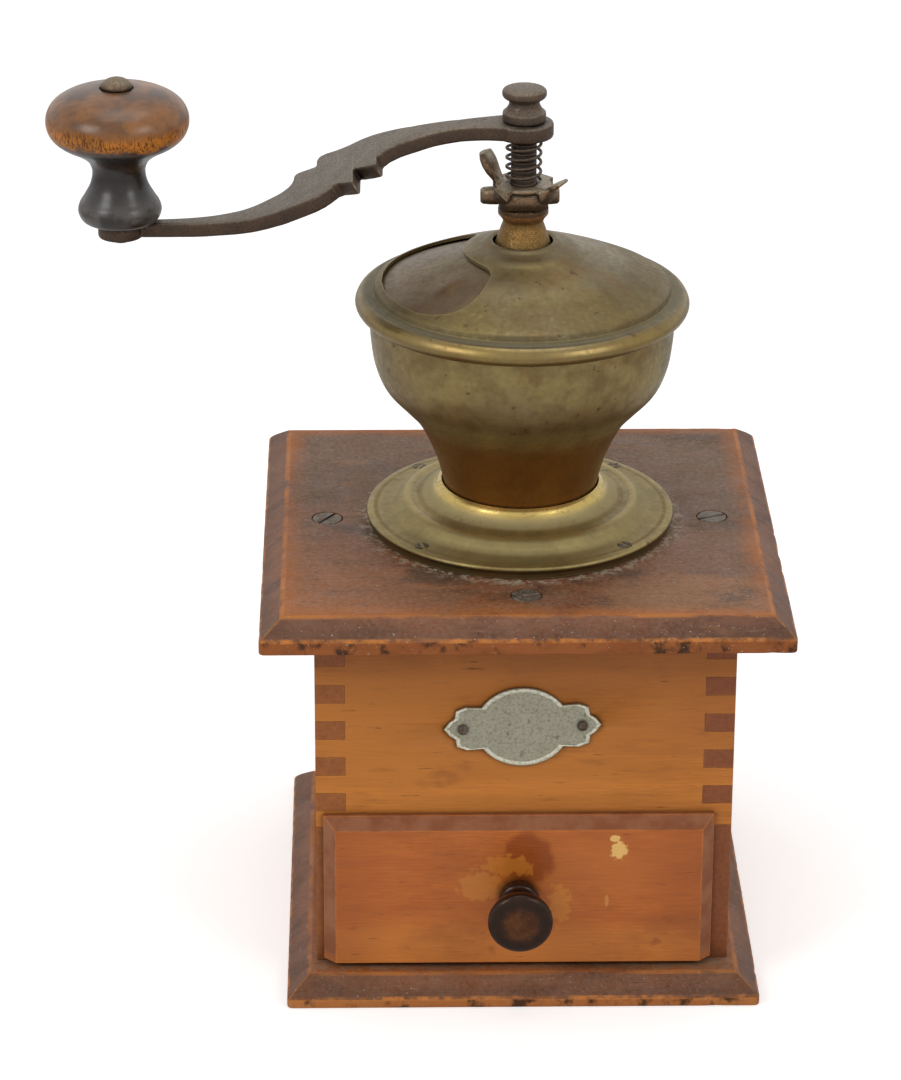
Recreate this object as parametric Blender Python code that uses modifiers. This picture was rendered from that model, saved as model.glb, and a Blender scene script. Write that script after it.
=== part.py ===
"""Hand-cranked box coffee mill: a wooden box with a drawer, a spun brass hopper with a shutter in its lid,
a conical burr set on a hanging spindle, and an S-bent crank. Metres, +Z up. The origin is on the spindle's
axis at the underside of the base, and the drawer opens towards -Y."""

import math

import bmesh
import bpy
import numpy as np
from mathutils import Matrix, Vector

MM = 0.001

# Fits and finish shared by all pieces
GAP = 0.3 * MM
OVERRUN = 2.0 * MM
SHEET_T = 0.9 * MM

# Base board
BASE_OVERHANG_X = 8.8 * MM
BASE_OVERHANG_Y = 14.1 * MM
BASE_T = 8.2 * MM
BASE_EDGE = 3.1 * MM
BASE_BEVEL = 6.4 * MM

# Box walls and their comb joints
BOX_W = 119.4 * MM
BOX_D = 113.2 * MM
BOX_H = 106.1 * MM
WALL_T = 8.3 * MM
FINGER = 5.75 * MM
RIGHT_COMB_RISE = 1.9 * MM
DRAWER_HEADROOM = 1.1 * MM

# Top board
BOARD_OVERHANG_X = 15.3 * MM
BOARD_OVERHANG_Y = 17.65 * MM
BOARD_T = 9.2 * MM
BOARD_EDGE = 4.3 * MM
BOARD_BEVEL = 6.4 * MM

# Drawer
FRONT_REVEAL = 3.5 * MM
FRONT_LAP = 3.9 * MM
FRONT_T = 4.7 * MM
FRONT_EDGE = 1.4 * MM
FRONT_BEVEL = 3.4 * MM
FRONT_LIFT = 1.7 * MM
FRONT_SHIFT = -1.5 * MM
TONGUE_T = 6.0 * MM
TONGUE_H = 42.6 * MM
DRAWER_PLAY = 0.5 * MM
DRAWER_WALL = 6.0 * MM
DRAWER_SIDE_DROP = 3.1 * MM
DRAWER_BOTTOM_T = 3.0 * MM
DRAWER_BOTTOM_RISE = 1.5 * MM
GROOVE_DEPTH = 2.5 * MM
KNOB_R = 9.3 * MM
KNOB_L = 18.0 * MM
KNOB_DROP = 1.1 * MM
KNOB_SCREW_R = 2.0 * MM
KNOB_SCREW_L = 20.0 * MM
KNOB_SCREW_HEAD_R = 4.2 * MM
KNOB_SCREW_HEAD_H = 1.6 * MM
KNOB_PROFILE_SHARES = [
    (0.56, 0.0), (0.60, 0.06), (0.64, 0.12), (0.64, 0.24), (0.57, 0.29), (0.56, 0.34), (0.61, 0.45),
    (0.73, 0.58), (0.88, 0.70), (0.97, 0.79), (1.0, 0.86), (0.97, 0.93), (0.84, 0.975), (0.45, 0.995),
]

# Name plate and its nails
PLATE_W = 45.0 * MM
PLATE_H = 24.6 * MM
PLATE_T = 0.9 * MM
PLATE_Z = 84.1 * MM
PLATE_X = -0.7 * MM
PLATE_TILT_DEG = 1.8
NAIL_R = 0.7 * MM
NAIL_HEAD_R = 1.5 * MM
NAIL_HEAD_H = 0.8 * MM
NAIL_L = 6.0 * MM
NAIL_SPREAD = 17.0 * MM
PLATE_EAR_SHARES = [
    (1.0, 0.0), (0.93, 0.17), (0.86, 0.26), (0.84, 0.46), (0.72, 0.55), (0.60, 0.53),
]
PLATE_OVAL_SHARE = 0.58

# Brass flange on the top board: outer surface, from the rim to the collar
FLANGE_R = 44.8 * MM
FLANGE_H = 12.4 * MM
FLANGE_SHARES = [
    (0.985, 0.0), (0.985, 0.13), (1.0, 0.18), (1.0, 0.235), (0.985, 0.285), (0.84, 0.31), (0.805, 0.38),
    (0.785, 0.53), (0.74, 0.61), (0.69, 0.60), (0.655, 0.62), (0.60, 0.71), (0.552, 0.87), (0.530, 1.0),
]
FLANGE_SEAT = 5

# Hopper bowl: outer surface from the rim to the foot, as shares of rim radius and height
HOPPER_R = 44.0 * MM
HOPPER_H = 62.65 * MM
HOPPER_SHARES = [
    (1.0, 1.0), (0.995, 0.868), (0.985, 0.779), (0.962, 0.681), (0.905, 0.582), (0.80, 0.498),
    (0.705, 0.424), (0.645, 0.355), (0.592, 0.276), (0.549, 0.197), (0.514, 0.099), (0.488, 0.0),
]

# Lid: outer surface from the hole to the lip under the bead, as shares of bead radius and height
LID_R = 47.9 * MM
LID_H = 20.9 * MM
LID_SEAT_SHARE = 0.253
LID_SHARES = [
    (0.180, 0.985), (0.194, 1.0), (0.212, 0.992), (0.235, 0.955), (0.265, 0.93), (0.305, 0.905),
    (0.355, 0.85), (0.50, 0.735), (0.68, 0.57), (0.845, 0.40), (0.879, 0.355), (0.889, 0.275),
    (0.903, 0.262), (0.962, 0.238), (0.986, 0.195), (1.0, 0.115), (0.99, 0.045), (0.968, 0.0), (0.946, 0.005),
]
LID_CONE = (6, 9)
OPENING_R0 = 17.0 * MM
OPENING_R1 = 40.3 * MM
OPENING_FROM_DEG = 128.5
OPENING_TO_DEG = 243.0
OPENING_CORNER_SHARES = [
    (0.0, 0.22), (0.0, 0.50), (0.025, 0.72), (0.075, 0.88), (0.17, 0.985), (0.30, 1.0),
]
OPENING_INNER_SHARES = [(0.24, 0.0), (0.10, 0.03), (0.03, 0.10)]

# Shutter leaf under the lid
SHUTTER_DROP = 1.25 * MM
SHUTTER_R = 41.2 * MM
SHUTTER_EYE_R = 13.2 * MM
SHUTTER_T = 0.7 * MM
SHUTTER_LAP_DEG = 14.0
THUMB_AT_R = 26.5 * MM
THUMB_AT_DEG = 217.0
THUMB_HALF_W = 3.6 * MM
THUMB_LENGTHENING = 1.7
THUMB_H = 1.0 * MM
THUMB_SHARES = [(1.0, 0.0), (0.94, 0.28), (0.78, 0.60), (0.50, 0.86), (0.0, 1.0)]

# Burr ring
RING_R = 24.5 * MM
RING_DEPTH = 25.1 * MM
RING_LIP_R = 35.0 * MM
RING_LIP_T = 2.0 * MM
RING_SHOULDER_H = 6.6 * MM
RING_SPIGOT_H = 3.5 * MM
BURR_R = 17.3 * MM
BURR_H = 26.0 * MM
BURR_TOOTH = 1.3 * MM
BURR_RUN = 0.7 * MM
RING_BORE_SHARES = [(1.0, 0.0), (0.94, 0.25), (0.86, 0.50), (0.84, 0.75), (0.88, 1.0), (0.93, 1.37)]
RING_TEETH = 18
CONE_SHARES = [(1.0, 0.0), (0.93, 0.22), (0.82, 0.46), (0.62, 0.72), (0.42, 1.0)]
CONE_TEETH = 16
TEETH_TWIST_DEG = 40.0
TOOTH_STEPS = 4
BURR_BASE_GAP = 1.0 * MM

# Spindle and the bearing that carries it
SPINDLE_R = 3.65 * MM
SPINDLE_HEADROOM = 2.2 * MM
SPINDLE_TAIL = 3.2 * MM
SPINDLE_COLLAR_R = 5.6 * MM
SPINDLE_COLLAR_H = 2.2 * MM
BAR_T = 3.0 * MM
BAR_W = 12.0 * MM
NECK_H = 86.3 * MM
NECK_COLUMN_R = 6.0 * MM
NECK_SHARES = [
    (1.10, 1.0), (1.20, 0.990), (1.20, 0.971), (1.03, 0.957), (0.95, 0.944), (1.05, 0.925),
    (1.15, 0.905), (1.25, 0.885), (1.30, 0.872), (1.42, 0.845), (1.48, 0.832),
]
NECK_SHOULDER_R = 11.0 * MM
NECK_SHOULDER_T = 1.6 * MM
YOKE_REACH = 20.0 * MM
YOKE_W = 7.0 * MM
YOKE_RISE = 16.0 * MM
YOKE_T = 4.2 * MM
YOKE_SCREW_X = 18.1 * MM

# Adjusting nut, its pegs, the lock plate and its spring
ADJUST_HALF = 6.9 * MM
ADJUST_H = 4.8 * MM
ADJUST_CHAMFER = 2.2 * MM
PEG_R = 2.6 * MM
PEG_LEFT_REACH = 12.2 * MM
PEG_RIGHT_REACH = 10.2 * MM
PEG_SHARES = [(0.72, 0.0), (0.93, 0.06), (1.0, 0.22), (1.0, 0.40), (0.92, 0.60)]
LOCK_R = 7.95 * MM
LOCK_T = 1.0 * MM
TAB_W = 5.2 * MM
TAB_DROP = 3.0 * MM
TAB_CORNER = 1.3 * MM
EAR_W = 7.0 * MM
EAR_TURN_DEG = -26.0
EAR_SHARES = [
    (-0.62, 0.0), (-0.84, 0.8), (-1.16, 5.2), (-1.48, 8.6), (-1.68, 8.5), (-1.32, 4.0), (-0.98, 0.0),
]
EAR_PLAN_SHARES = [
    (-0.5, 0.50), (-0.92, 0.46), (-1.10, 0.68), (-1.26, 0.94), (-1.42, 1.0), (-1.55, 0.84), (-1.64, 0.50),
    (-1.67, 0.16),
]
LOW_EAR_SHARES = [(0.62, 0.0), (1.0, 0.0), (1.50, 1.9), (1.62, 2.9), (1.48, 3.0), (0.98, 1.0), (0.62, 1.0)]
SPRING_H = 13.4 * MM
SPRING_R = 4.95 * MM
SPRING_WIRE_R = 0.44 * MM
SPRING_TURNS = 4.5
SPRING_STEPS = 10

# Crank arm
CRANK_R = 114.3 * MM
CRANK_EYE_R = 8.35 * MM
CRANK_END_R = 6.4 * MM
CRANK_T = 4.3 * MM
CRANK_DROP = 29.8 * MM
CRANK_HALF_W = 19.6 * MM
CRANK_ELEVATION_SHARES = [
    (-0.25, 0.0), (0.0, 0.0), (0.06, 0.0), (0.12, 0.012), (0.18, 0.035), (0.245, 0.085), (0.31, 0.165),
    (0.37, 0.265), (0.42, 0.365), (0.467, 0.475), (0.515, 0.585), (0.57, 0.70), (0.625, 0.80),
    (0.685, 0.89), (0.75, 0.95), (0.82, 0.985), (0.90, 0.998), (1.0, 1.0), (1.06, 1.0), (1.25, 1.0),
]
CRANK_BACK_SHARES = [
    (0.042, 0.107), (0.143, 0.122), (0.239, 0.153), (0.300, 0.199), (0.339, 0.250), (0.370, 0.301),
    (0.400, 0.321), (0.417, 0.378), (0.425, 0.469), (0.429, 0.561), (0.429, 0.724), (0.434, 0.776),
    (0.451, 0.740), (0.473, 0.643), (0.485, 0.602), (0.487, 0.847), (0.492, 0.939), (0.501, 0.964),
    (0.533, 0.842), (0.563, 0.745), (0.598, 0.694), (0.633, 0.587), (0.681, 0.423), (0.724, 0.291),
    (0.773, 0.235), (0.843, 0.204), (0.904, 0.250), (0.948, 0.306), (1.022, 0.337),
]
CRANK_FRONT_SHARES = [
    (0.042, -0.107), (0.143, -0.133), (0.239, -0.194), (0.300, -0.276), (0.339, -0.352),
    (0.370, -0.429), (0.421, -0.602), (0.469, -0.755), (0.507, -0.745), (0.525, -0.673),
    (0.539, -0.714), (0.560, -0.893), (0.577, -0.995), (0.577, -0.730), (0.575, -0.490),
    (0.578, -0.434), (0.586, -0.520), (0.610, -0.684), (0.631, -0.781), (0.634, -0.745),
    (0.635, -0.505), (0.640, -0.418), (0.652, -0.337), (0.680, -0.301), (0.724, -0.316),
    (0.773, -0.255), (0.843, -0.214), (0.904, -0.250), (0.948, -0.306), (1.022, -0.337),
]

# Crank nut, knob and knob pin
CRANK_NUT_R = 6.3 * MM
CRANK_NUT_H = 9.9 * MM
CRANK_NUT_CEILING = 2.4 * MM
CRANK_NUT_SHARES = [
    (0.93, 0.0), (0.97, 0.05), (0.97, 0.24), (0.90, 0.29), (0.80, 0.36), (0.71, 0.46), (0.69, 0.54),
    (0.74, 0.62), (0.90, 0.68), (0.98, 0.74), (1.0, 0.81), (0.97, 0.90), (0.82, 0.96), (0.45, 0.99),
]
HANDLE_R = 20.2 * MM
HANDLE_H = 39.8 * MM
HANDLE_BORE_R = 2.7 * MM
HANDLE_SHARES = [
    (0.36, 0.0), (0.52, 0.025), (0.585, 0.09), (0.56, 0.15), (0.50, 0.20), (0.41, 0.285), (0.372, 0.37),
    (0.39, 0.43), (0.46, 0.485), (0.64, 0.55), (0.82, 0.60), (0.93, 0.65), (0.985, 0.705), (1.0, 0.76),
    (0.98, 0.82), (0.91, 0.88), (0.78, 0.93), (0.60, 0.968), (0.36, 0.992), (0.245, 0.997),
]
HANDLE_DISH_R = 4.9 * MM
HANDLE_DISH = 0.6 * MM
PIN_R = 2.2 * MM
PIN_HEAD_R = 4.6 * MM
PIN_HEAD_H = 3.3 * MM
PIN_TAIL = 0.9 * MM
PIN_TAIL_R = 3.2 * MM

# Wood screws
BOARD_SCREW_IN_X = 3.3 * MM
BOARD_SCREW_IN_Y = 2.2 * MM
BOARD_SLOTS_DEG = {"left": 55.0, "right": 24.0, "front": 8.0, "back": -30.0}
BOARD_SCREW_HEAD_R = 4.5 * MM
BOARD_SCREW_R = 1.7 * MM
BOARD_SCREW_L = 24.0 * MM
FLANGE_SCREW_AT = 29.0 * MM
FLANGE_SCREW_HEAD_R = 2.2 * MM
FLANGE_SCREW_R = 1.1 * MM
FLANGE_SCREW_L = 9.0 * MM
BASE_SCREW_IN = 18.6 * MM
MACHINE_SCREW_HEAD_R = 2.2 * MM
MACHINE_SCREW_R = 1.1 * MM
MACHINE_SCREW_L = 8.0 * MM
SLOT_W = 0.9 * MM
SLOT_DEPTH = 0.9 * MM
ROUND_HEAD_SHARE = 0.3

# Facets round a full turn
WIDE_STEPS = 40
MID_STEPS = 28
SMALL_STEPS = 16

# Sizes and heights that follow from those above
BASE_W = BOX_W + 2 * BASE_OVERHANG_X
BASE_D = BOX_D + 2 * BASE_OVERHANG_Y
BOARD_W = BOX_W + 2 * BOARD_OVERHANG_X
BOARD_D = BOX_D + 2 * BOARD_OVERHANG_Y
FRONT_W = BOX_W - 2 * FRONT_REVEAL
FRONT_H = TONGUE_H + FRONT_LAP
WALL_Z = BASE_T + GAP
PANEL_Z = WALL_Z + TONGUE_H + DRAWER_HEADROOM
BOARD_Z = WALL_Z + BOX_H + GAP
BOARD_TOP = BOARD_Z + BOARD_T
FLANGE_Z = BOARD_TOP + GAP
RING_SHOULDER_Z = FLANGE_Z + RING_SHOULDER_H
RING_TOP_Z = RING_SHOULDER_Z + RING_SPIGOT_H
RING_Z = BOARD_TOP - RING_DEPTH
HOPPER_Z = RING_SHOULDER_Z + GAP
HOPPER_FOOT_R = HOPPER_R * HOPPER_SHARES[-1][0]
RING_SPIGOT_R = HOPPER_FOOT_R - SHEET_T - GAP
LID_Z = HOPPER_Z + HOPPER_H + GAP + SHEET_T - LID_H * LID_SEAT_SHARE
BRIDGE_Z = RING_TOP_Z + GAP
NECK_TOP_Z = BRIDGE_Z + NECK_H
ADJUST_Z = NECK_TOP_Z + GAP
LOCK_Z = ADJUST_Z + ADJUST_H + GAP
SPRING_Z = LOCK_Z + LOCK_T + GAP
CRANK_UNDER_Z = SPRING_Z + SPRING_H + GAP
CRANK_TOP_Z = CRANK_UNDER_Z + CRANK_T
CRANK_NUT_Z = CRANK_TOP_Z + GAP
CRANK_END_Z = CRANK_TOP_Z - CRANK_DROP
HANDLE_Z = CRANK_END_Z + GAP
BORE_R = SPINDLE_R + GAP
BAR_Z = RING_Z - GAP - BAR_T
SPINDLE_Z = BAR_Z - SPINDLE_TAIL
CRANK_NUT_CEILING_Z = CRANK_NUT_Z + CRANK_NUT_H - CRANK_NUT_CEILING
SPINDLE_TOP_Z = CRANK_NUT_CEILING_Z - SPINDLE_HEADROOM
BOX_FRONT = -BOX_D / 2
FRONT_BACK = BOX_FRONT - GAP
FRONT_FACE = FRONT_BACK - FRONT_T
FRONT_Z = BASE_T + FRONT_LIFT
KNOB_Z = FRONT_Z + FRONT_H / 2 - KNOB_DROP

OILED_BEECH = ("oiled_beech", (0.50, 0.24, 0.08), 0.5, 0.0)
STAINED_BEECH = ("stained_beech", (0.12, 0.05, 0.028), 0.55, 0.0)
EBONISED = ("ebonised_wood", (0.03, 0.018, 0.015), 0.25, 0.0)
HANDLE_WOOD = ("turned_handle_wood", (0.16, 0.07, 0.03), 0.35, 0.0)
AGED_BRASS = ("aged_brass", (0.30, 0.24, 0.11), 0.4, 1.0)
BRONZE = ("bearing_bronze", (0.34, 0.20, 0.11), 0.45, 1.0)
IRON = ("dark_iron", (0.09, 0.07, 0.06), 0.6, 1.0)
STEEL = ("screw_steel", (0.28, 0.26, 0.23), 0.5, 1.0)
ZINC = ("stamped_zinc", (0.42, 0.42, 0.40), 0.45, 1.0)

for old in list(bpy.data.objects):
    bpy.data.objects.remove(old, do_unlink=True)

PARTS = bpy.data.collections.new("coffee_mill")
CUTTERS = bpy.data.collections.new("coffee_mill_cutters")
bpy.context.scene.collection.children.link(PARTS)
bpy.context.scene.collection.children.link(CUTTERS)


def material(finish):
    """The named finish as a Principled material, made once."""
    name, colour, rough, metal = finish
    found = bpy.data.materials.get(name)
    if found:
        return found
    made = bpy.data.materials.new(name)
    made.use_nodes = True
    shader = made.node_tree.nodes["Principled BSDF"]
    shader.inputs["Base Color"].default_value = (*colour, 1.0)
    shader.inputs["Roughness"].default_value = rough
    shader.inputs["Metallic"].default_value = metal
    made.diffuse_color = (*colour, 1.0)
    return made


def add(name, mesh, finish=None, at=(0, 0, 0)):
    """A mesh as an object: a part with its finish, or a cutter when it has none."""
    obj = bpy.data.objects.new(name, mesh)
    obj.location = at
    if finish:
        PARTS.objects.link(obj)
        mesh.materials.append(material(finish))
    else:
        CUTTERS.objects.link(obj)
        obj.hide_render = True
        obj.display_type = "WIRE"
    return obj


def tidy(work, name):
    """A bmesh closed, turned outwards and shaded smooth up to sharp edges."""
    bmesh.ops.remove_doubles(work, verts=work.verts, dist=GAP / 100)
    bmesh.ops.recalc_face_normals(work, faces=work.faces)
    mesh = bpy.data.meshes.new(name)
    work.to_mesh(mesh)
    work.free()
    mesh.shade_smooth()
    mesh.set_sharp_from_angle(angle=math.radians(35))
    return mesh


def box(name, low, high, finish=None):
    """A block between two corners."""
    low, high = Vector(low), Vector(high)
    work = bmesh.new()
    size = high - low
    place = Matrix.Translation((low + high) / 2) @ Matrix.Diagonal((*size, 1))
    bmesh.ops.create_cube(work, size=1, matrix=place)
    return add(name, tidy(work, name), finish)


def rod(name, radius, start, end, finish=None, steps=SMALL_STEPS):
    """A round bar from start to end."""
    start, end = Vector(start), Vector(end)
    along = end - start
    turn = along.to_track_quat("Z", "Y").to_matrix().to_4x4()
    work = bmesh.new()
    place = Matrix.Translation((start + end) / 2) @ turn
    bmesh.ops.create_cone(work, cap_ends=True, segments=steps, radius1=radius, radius2=radius,
                          depth=along.length, matrix=place)
    return add(name, tidy(work, name), finish)


AXES = {
    "Z": Matrix.Identity(4),
    "Y": Matrix(((1, 0, 0, 0), (0, 0, 1, 0), (0, 1, 0, 0), (0, 0, 0, 1))),
    "X": Matrix(((0, 0, 1, 0), (1, 0, 0, 0), (0, 1, 0, 0), (0, 0, 0, 1))),
}


def prism(name, outline, axis, low, high, finish=None):
    """A flat outline carried along an axis. Its points are (X, Y) for Z, (X, Z) for Y and (Y, Z) for X."""
    count = len(outline)
    points = [AXES[axis] @ Vector((u, v, w)) for w in (low, high) for u, v in outline]
    faces = [range(count), range(count, 2 * count)]
    faces += [(i, (i + 1) % count, (i + 1) % count + count, i + count) for i in range(count)]
    mesh = bpy.data.meshes.new(name)
    mesh.from_pydata(points, [], [list(face) for face in faces])
    work = bmesh.new()
    work.from_mesh(mesh)
    return add(name, tidy(work, name), finish)


def turned(name, loop, finish=None, steps=MID_STEPS, at=(0, 0, 0), turn=None):
    """A closed profile of (radius, height) points, turned about Z. The loop may start and end on the axis."""
    mesh = bpy.data.meshes.new(name)
    closed = loop[0][0] > 0 or loop[-1][0] > 0
    edges = [(i, i + 1) for i in range(len(loop) - 1)]
    if closed:
        edges.append((len(loop) - 1, 0))
    mesh.from_pydata([(r, 0, z) for r, z in loop], edges, [])
    obj = add(name, mesh, None, at)
    screw = obj.modifiers.new("turn", "SCREW")
    screw.steps = steps
    screw.render_steps = steps
    screw.use_merge_vertices = True
    screw.merge_threshold = GAP / 100
    bpy.context.view_layer.update()
    solid = bpy.data.meshes.new_from_object(obj.evaluated_get(bpy.context.evaluated_depsgraph_get()))
    bpy.data.objects.remove(obj)
    work = bmesh.new()
    work.from_mesh(solid)
    if turn:
        bmesh.ops.transform(work, matrix=turn, verts=work.verts)
    return add(name, tidy(work, name), finish, at)


def combine(obj, other, how):
    """A Boolean with the exact solver."""
    step = obj.modifiers.new(how.lower() + "_" + other.name, "BOOLEAN")
    step.operation = how
    step.solver = "EXACT"
    step.object = other
    return obj


def cut(obj, other):
    return combine(obj, other, "DIFFERENCE")


def join(obj, other):
    return combine(obj, other, "UNION")


def rounded(points, spans):
    """A Catmull-Rom curve through the points, with this many spans between each two."""
    pts = np.array(points, float)
    padded = np.vstack([2 * pts[0] - pts[1], pts, 2 * pts[-1] - pts[-2]])
    made = []
    for a, b, c, d in zip(padded, padded[1:], padded[2:], padded[3:]):
        for k in range(spans):
            t = k / spans
            made.append(0.5 * (2 * b + (c - a) * t + (2 * a - 5 * b + 4 * c - d) * t**2
                               + (3 * b - a - 3 * c + d) * t**3))
    made.append(pts[-1])
    return [tuple(p) for p in made]


def sized(shares, radius, height, base=0.0):
    """Shares of a radius and a height as real points above base."""
    return [(radius * r, base + height * h) for r, h in shares]


def offset_inward(points, wall):
    """The same open outline moved one wall to its right, side by side with the first."""
    pts = np.array(points)
    run = np.gradient(pts, axis=0)
    run /= np.linalg.norm(run, axis=1)[:, None]
    return [tuple(p) for p in pts + wall * np.stack([run[:, 1], -run[:, 0]], 1)]


def sheet_loop(points, wall):
    """A closed loop round a sheet: the outer outline as given and, one wall inside it, the way back."""
    inner = offset_inward(points, wall)
    return list(points) + inner[::-1]


def combed_edge(face, depth, low, high, first, outside):
    """Points up one edge, from low to high. The edge starts outside at face, or one depth inside it, and
    changes over at first and then after every finger. Each finger gives up half of the clearance."""
    level = first
    edge = {True: face, False: face - depth}
    points = [(edge[outside], low)]
    while level < high - GAP:
        give = -GAP / 2 if outside else GAP / 2
        points += [(edge[outside], level + give), (edge[not outside], level + give)]
        outside = not outside
        level += FINGER
    return points + [(edge[outside], high)]


def screw(name, head_r, shank_r, length, at, down, finish=STEEL, countersunk=True, slot_deg=20.0):
    """A slotted screw. Its head's top lies at the given point and its shank runs along down."""
    head_h = head_r - shank_r if countersunk else head_r * ROUND_HEAD_SHARE
    edge = head_h * 0.15
    rim = (head_r, -edge) if countersunk else (head_r, -head_h)
    under = [rim, (shank_r, -head_h)]
    loop = [(0, 0), (head_r * 0.94, 0)] + under + [(shank_r, shank_r - length), (0, -length)]
    turn = (-Vector(down)).to_track_quat("Z", "Y").to_matrix().to_4x4()
    body = turned(name, loop, finish, SMALL_STEPS, at, turn)
    slot = box(name + "_slot", (-head_r - OVERRUN, -SLOT_W / 2, -min(SLOT_DEPTH, head_h * 0.6)),
               (head_r + OVERRUN, SLOT_W / 2, OVERRUN))
    slot.data.transform(turn @ Matrix.Rotation(math.radians(slot_deg), 4, "Z"))
    slot.location = at
    return cut(body, slot)


def screw_hole(name, piece, head_r, shank_r, length, at, down, countersunk=True):
    """The clearance for a screw, cut from a piece."""
    head_h = head_r - shank_r if countersunk else head_r * ROUND_HEAD_SHARE
    wide, slim = head_r + GAP, shank_r + GAP
    loop = [(0, OVERRUN), (wide, OVERRUN), (wide, -GAP), (slim, -head_h - GAP), (slim, -length - GAP),
            (0, -length - GAP)]
    turn = (-Vector(down)).to_track_quat("Z", "Y").to_matrix().to_4x4()
    return cut(piece, turned(name, loop, None, SMALL_STEPS, at, turn))


def bevelled_board(name, width, depth, thick, edge, bevel, base, finish):
    """A board with a square edge below and a mitred bevel round its top."""
    def section(span):
        half = span / 2
        return [(-half, base), (half, base), (half, base + edge), (half - bevel, base + thick),
                (bevel - half, base + thick), (-half, base + edge)]
    board = prism(name, section(width), "Y", -depth, depth, finish)
    return combine(board, prism(name + "_side", section(depth), "X", -width, width), "INTERSECT")


def finger_count(height):
    """The even number of comb fingers that fits in a wall's height."""
    return 2 * int((height - 2 * GAP) / (2 * FINGER))


def build_box():
    """The base, the four comb-jointed walls and the top board."""
    base = bevelled_board("base_board", BASE_W, BASE_D, BASE_T, BASE_EDGE, BASE_BEVEL, 0.0, STAINED_BEECH)
    board = bevelled_board("top_board", BOARD_W, BOARD_D, BOARD_T, BOARD_EDGE, BOARD_BEVEL, BOARD_Z,
                           STAINED_BEECH)
    cut(board, rod("mill_hole", RING_R + 2 * GAP, (0, 0, BOARD_Z - OVERRUN), (0, 0, BOARD_TOP + OVERRUN),
                   steps=WIDE_STEPS))
    low, high = WALL_Z, WALL_Z + BOX_H
    half_w, half_d = BOX_W / 2, BOX_D / 2
    deep = WALL_T + GAP
    front_comb = high - finger_count(high - PANEL_Z) * FINGER
    back_comb = high - finger_count(BOX_H) * FINGER
    walls = {}
    for name, sign, rise in (("left_side", -1, 0.0), ("right_side", 1, RIGHT_COMB_RISE)):
        front = [(half_d, low), (half_d, PANEL_Z - GAP)]
        front += combed_edge(half_d, deep, PANEL_Z - GAP, high, front_comb + rise, False)
        back = combed_edge(half_d, deep, low, high, back_comb + rise, True)
        outline = [(-y, z) for y, z in front] + [(y, z) for y, z in reversed(back)]
        outer, inner = sign * half_w, sign * (half_w - WALL_T)
        walls[name] = prism(name, outline, "X", min(outer, inner), max(outer, inner), OILED_BEECH)
    for name, front_side in (("front_panel", True), ("back_panel", False)):
        bottom = PANEL_Z if front_side else low
        first = front_comb if front_side else back_comb
        right = combed_edge(half_w, deep, bottom, high, first + RIGHT_COMB_RISE, front_side)
        left = combed_edge(half_w, deep, bottom, high, first, front_side)
        outline = [(x, z) for x, z in right] + [(-x, z) for x, z in reversed(left)]
        near, far = (-half_d, WALL_T - half_d) if front_side else (half_d - WALL_T, half_d)
        walls[name] = prism(name, outline, "Y", near, far, OILED_BEECH)
    screw_x, screw_y = half_w - BOARD_SCREW_IN_X, half_d - BOARD_SCREW_IN_Y
    places = [("left", (-screw_x, 0), "left_side"), ("right", (screw_x, 0), "right_side"),
              ("front", (0, -screw_y), "front_panel"), ("back", (0, screw_y), "back_panel")]
    sizes = (BOARD_SCREW_HEAD_R, BOARD_SCREW_R, BOARD_SCREW_L)
    for side, (x, y), wall in places:
        at = (x, y, BOARD_TOP)
        screw("board_screw_" + side, *sizes, at, (0, 0, -1), slot_deg=BOARD_SLOTS_DEG[side])
        screw_hole("board_hole_" + side, board, *sizes, at, (0, 0, -1))
        cut(walls[wall], rod("wall_hole_" + side, BOARD_SCREW_R + GAP, (x, y, high + OVERRUN),
                             (x, y, BOARD_TOP - BOARD_SCREW_L - GAP)))
    for side, sign in (("left", -1), ("right", 1)):
        for end, way in (("front", -1), ("back", 1)):
            label = side + "_" + end
            at = (sign * (half_w - WALL_T / 2), way * (half_d - BASE_SCREW_IN), 0)
            screw("base_screw_" + label, *sizes, at, (0, 0, 1))
            screw_hole("base_hole_" + label, base, *sizes, at, (0, 0, 1))
            hole = rod("foot_hole_" + label, BOARD_SCREW_R + GAP, (at[0], at[1], low - OVERRUN),
                       (at[0], at[1], BOARD_SCREW_L + GAP))
            cut(walls[side + "_side"], hole)
    return board, walls


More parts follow.
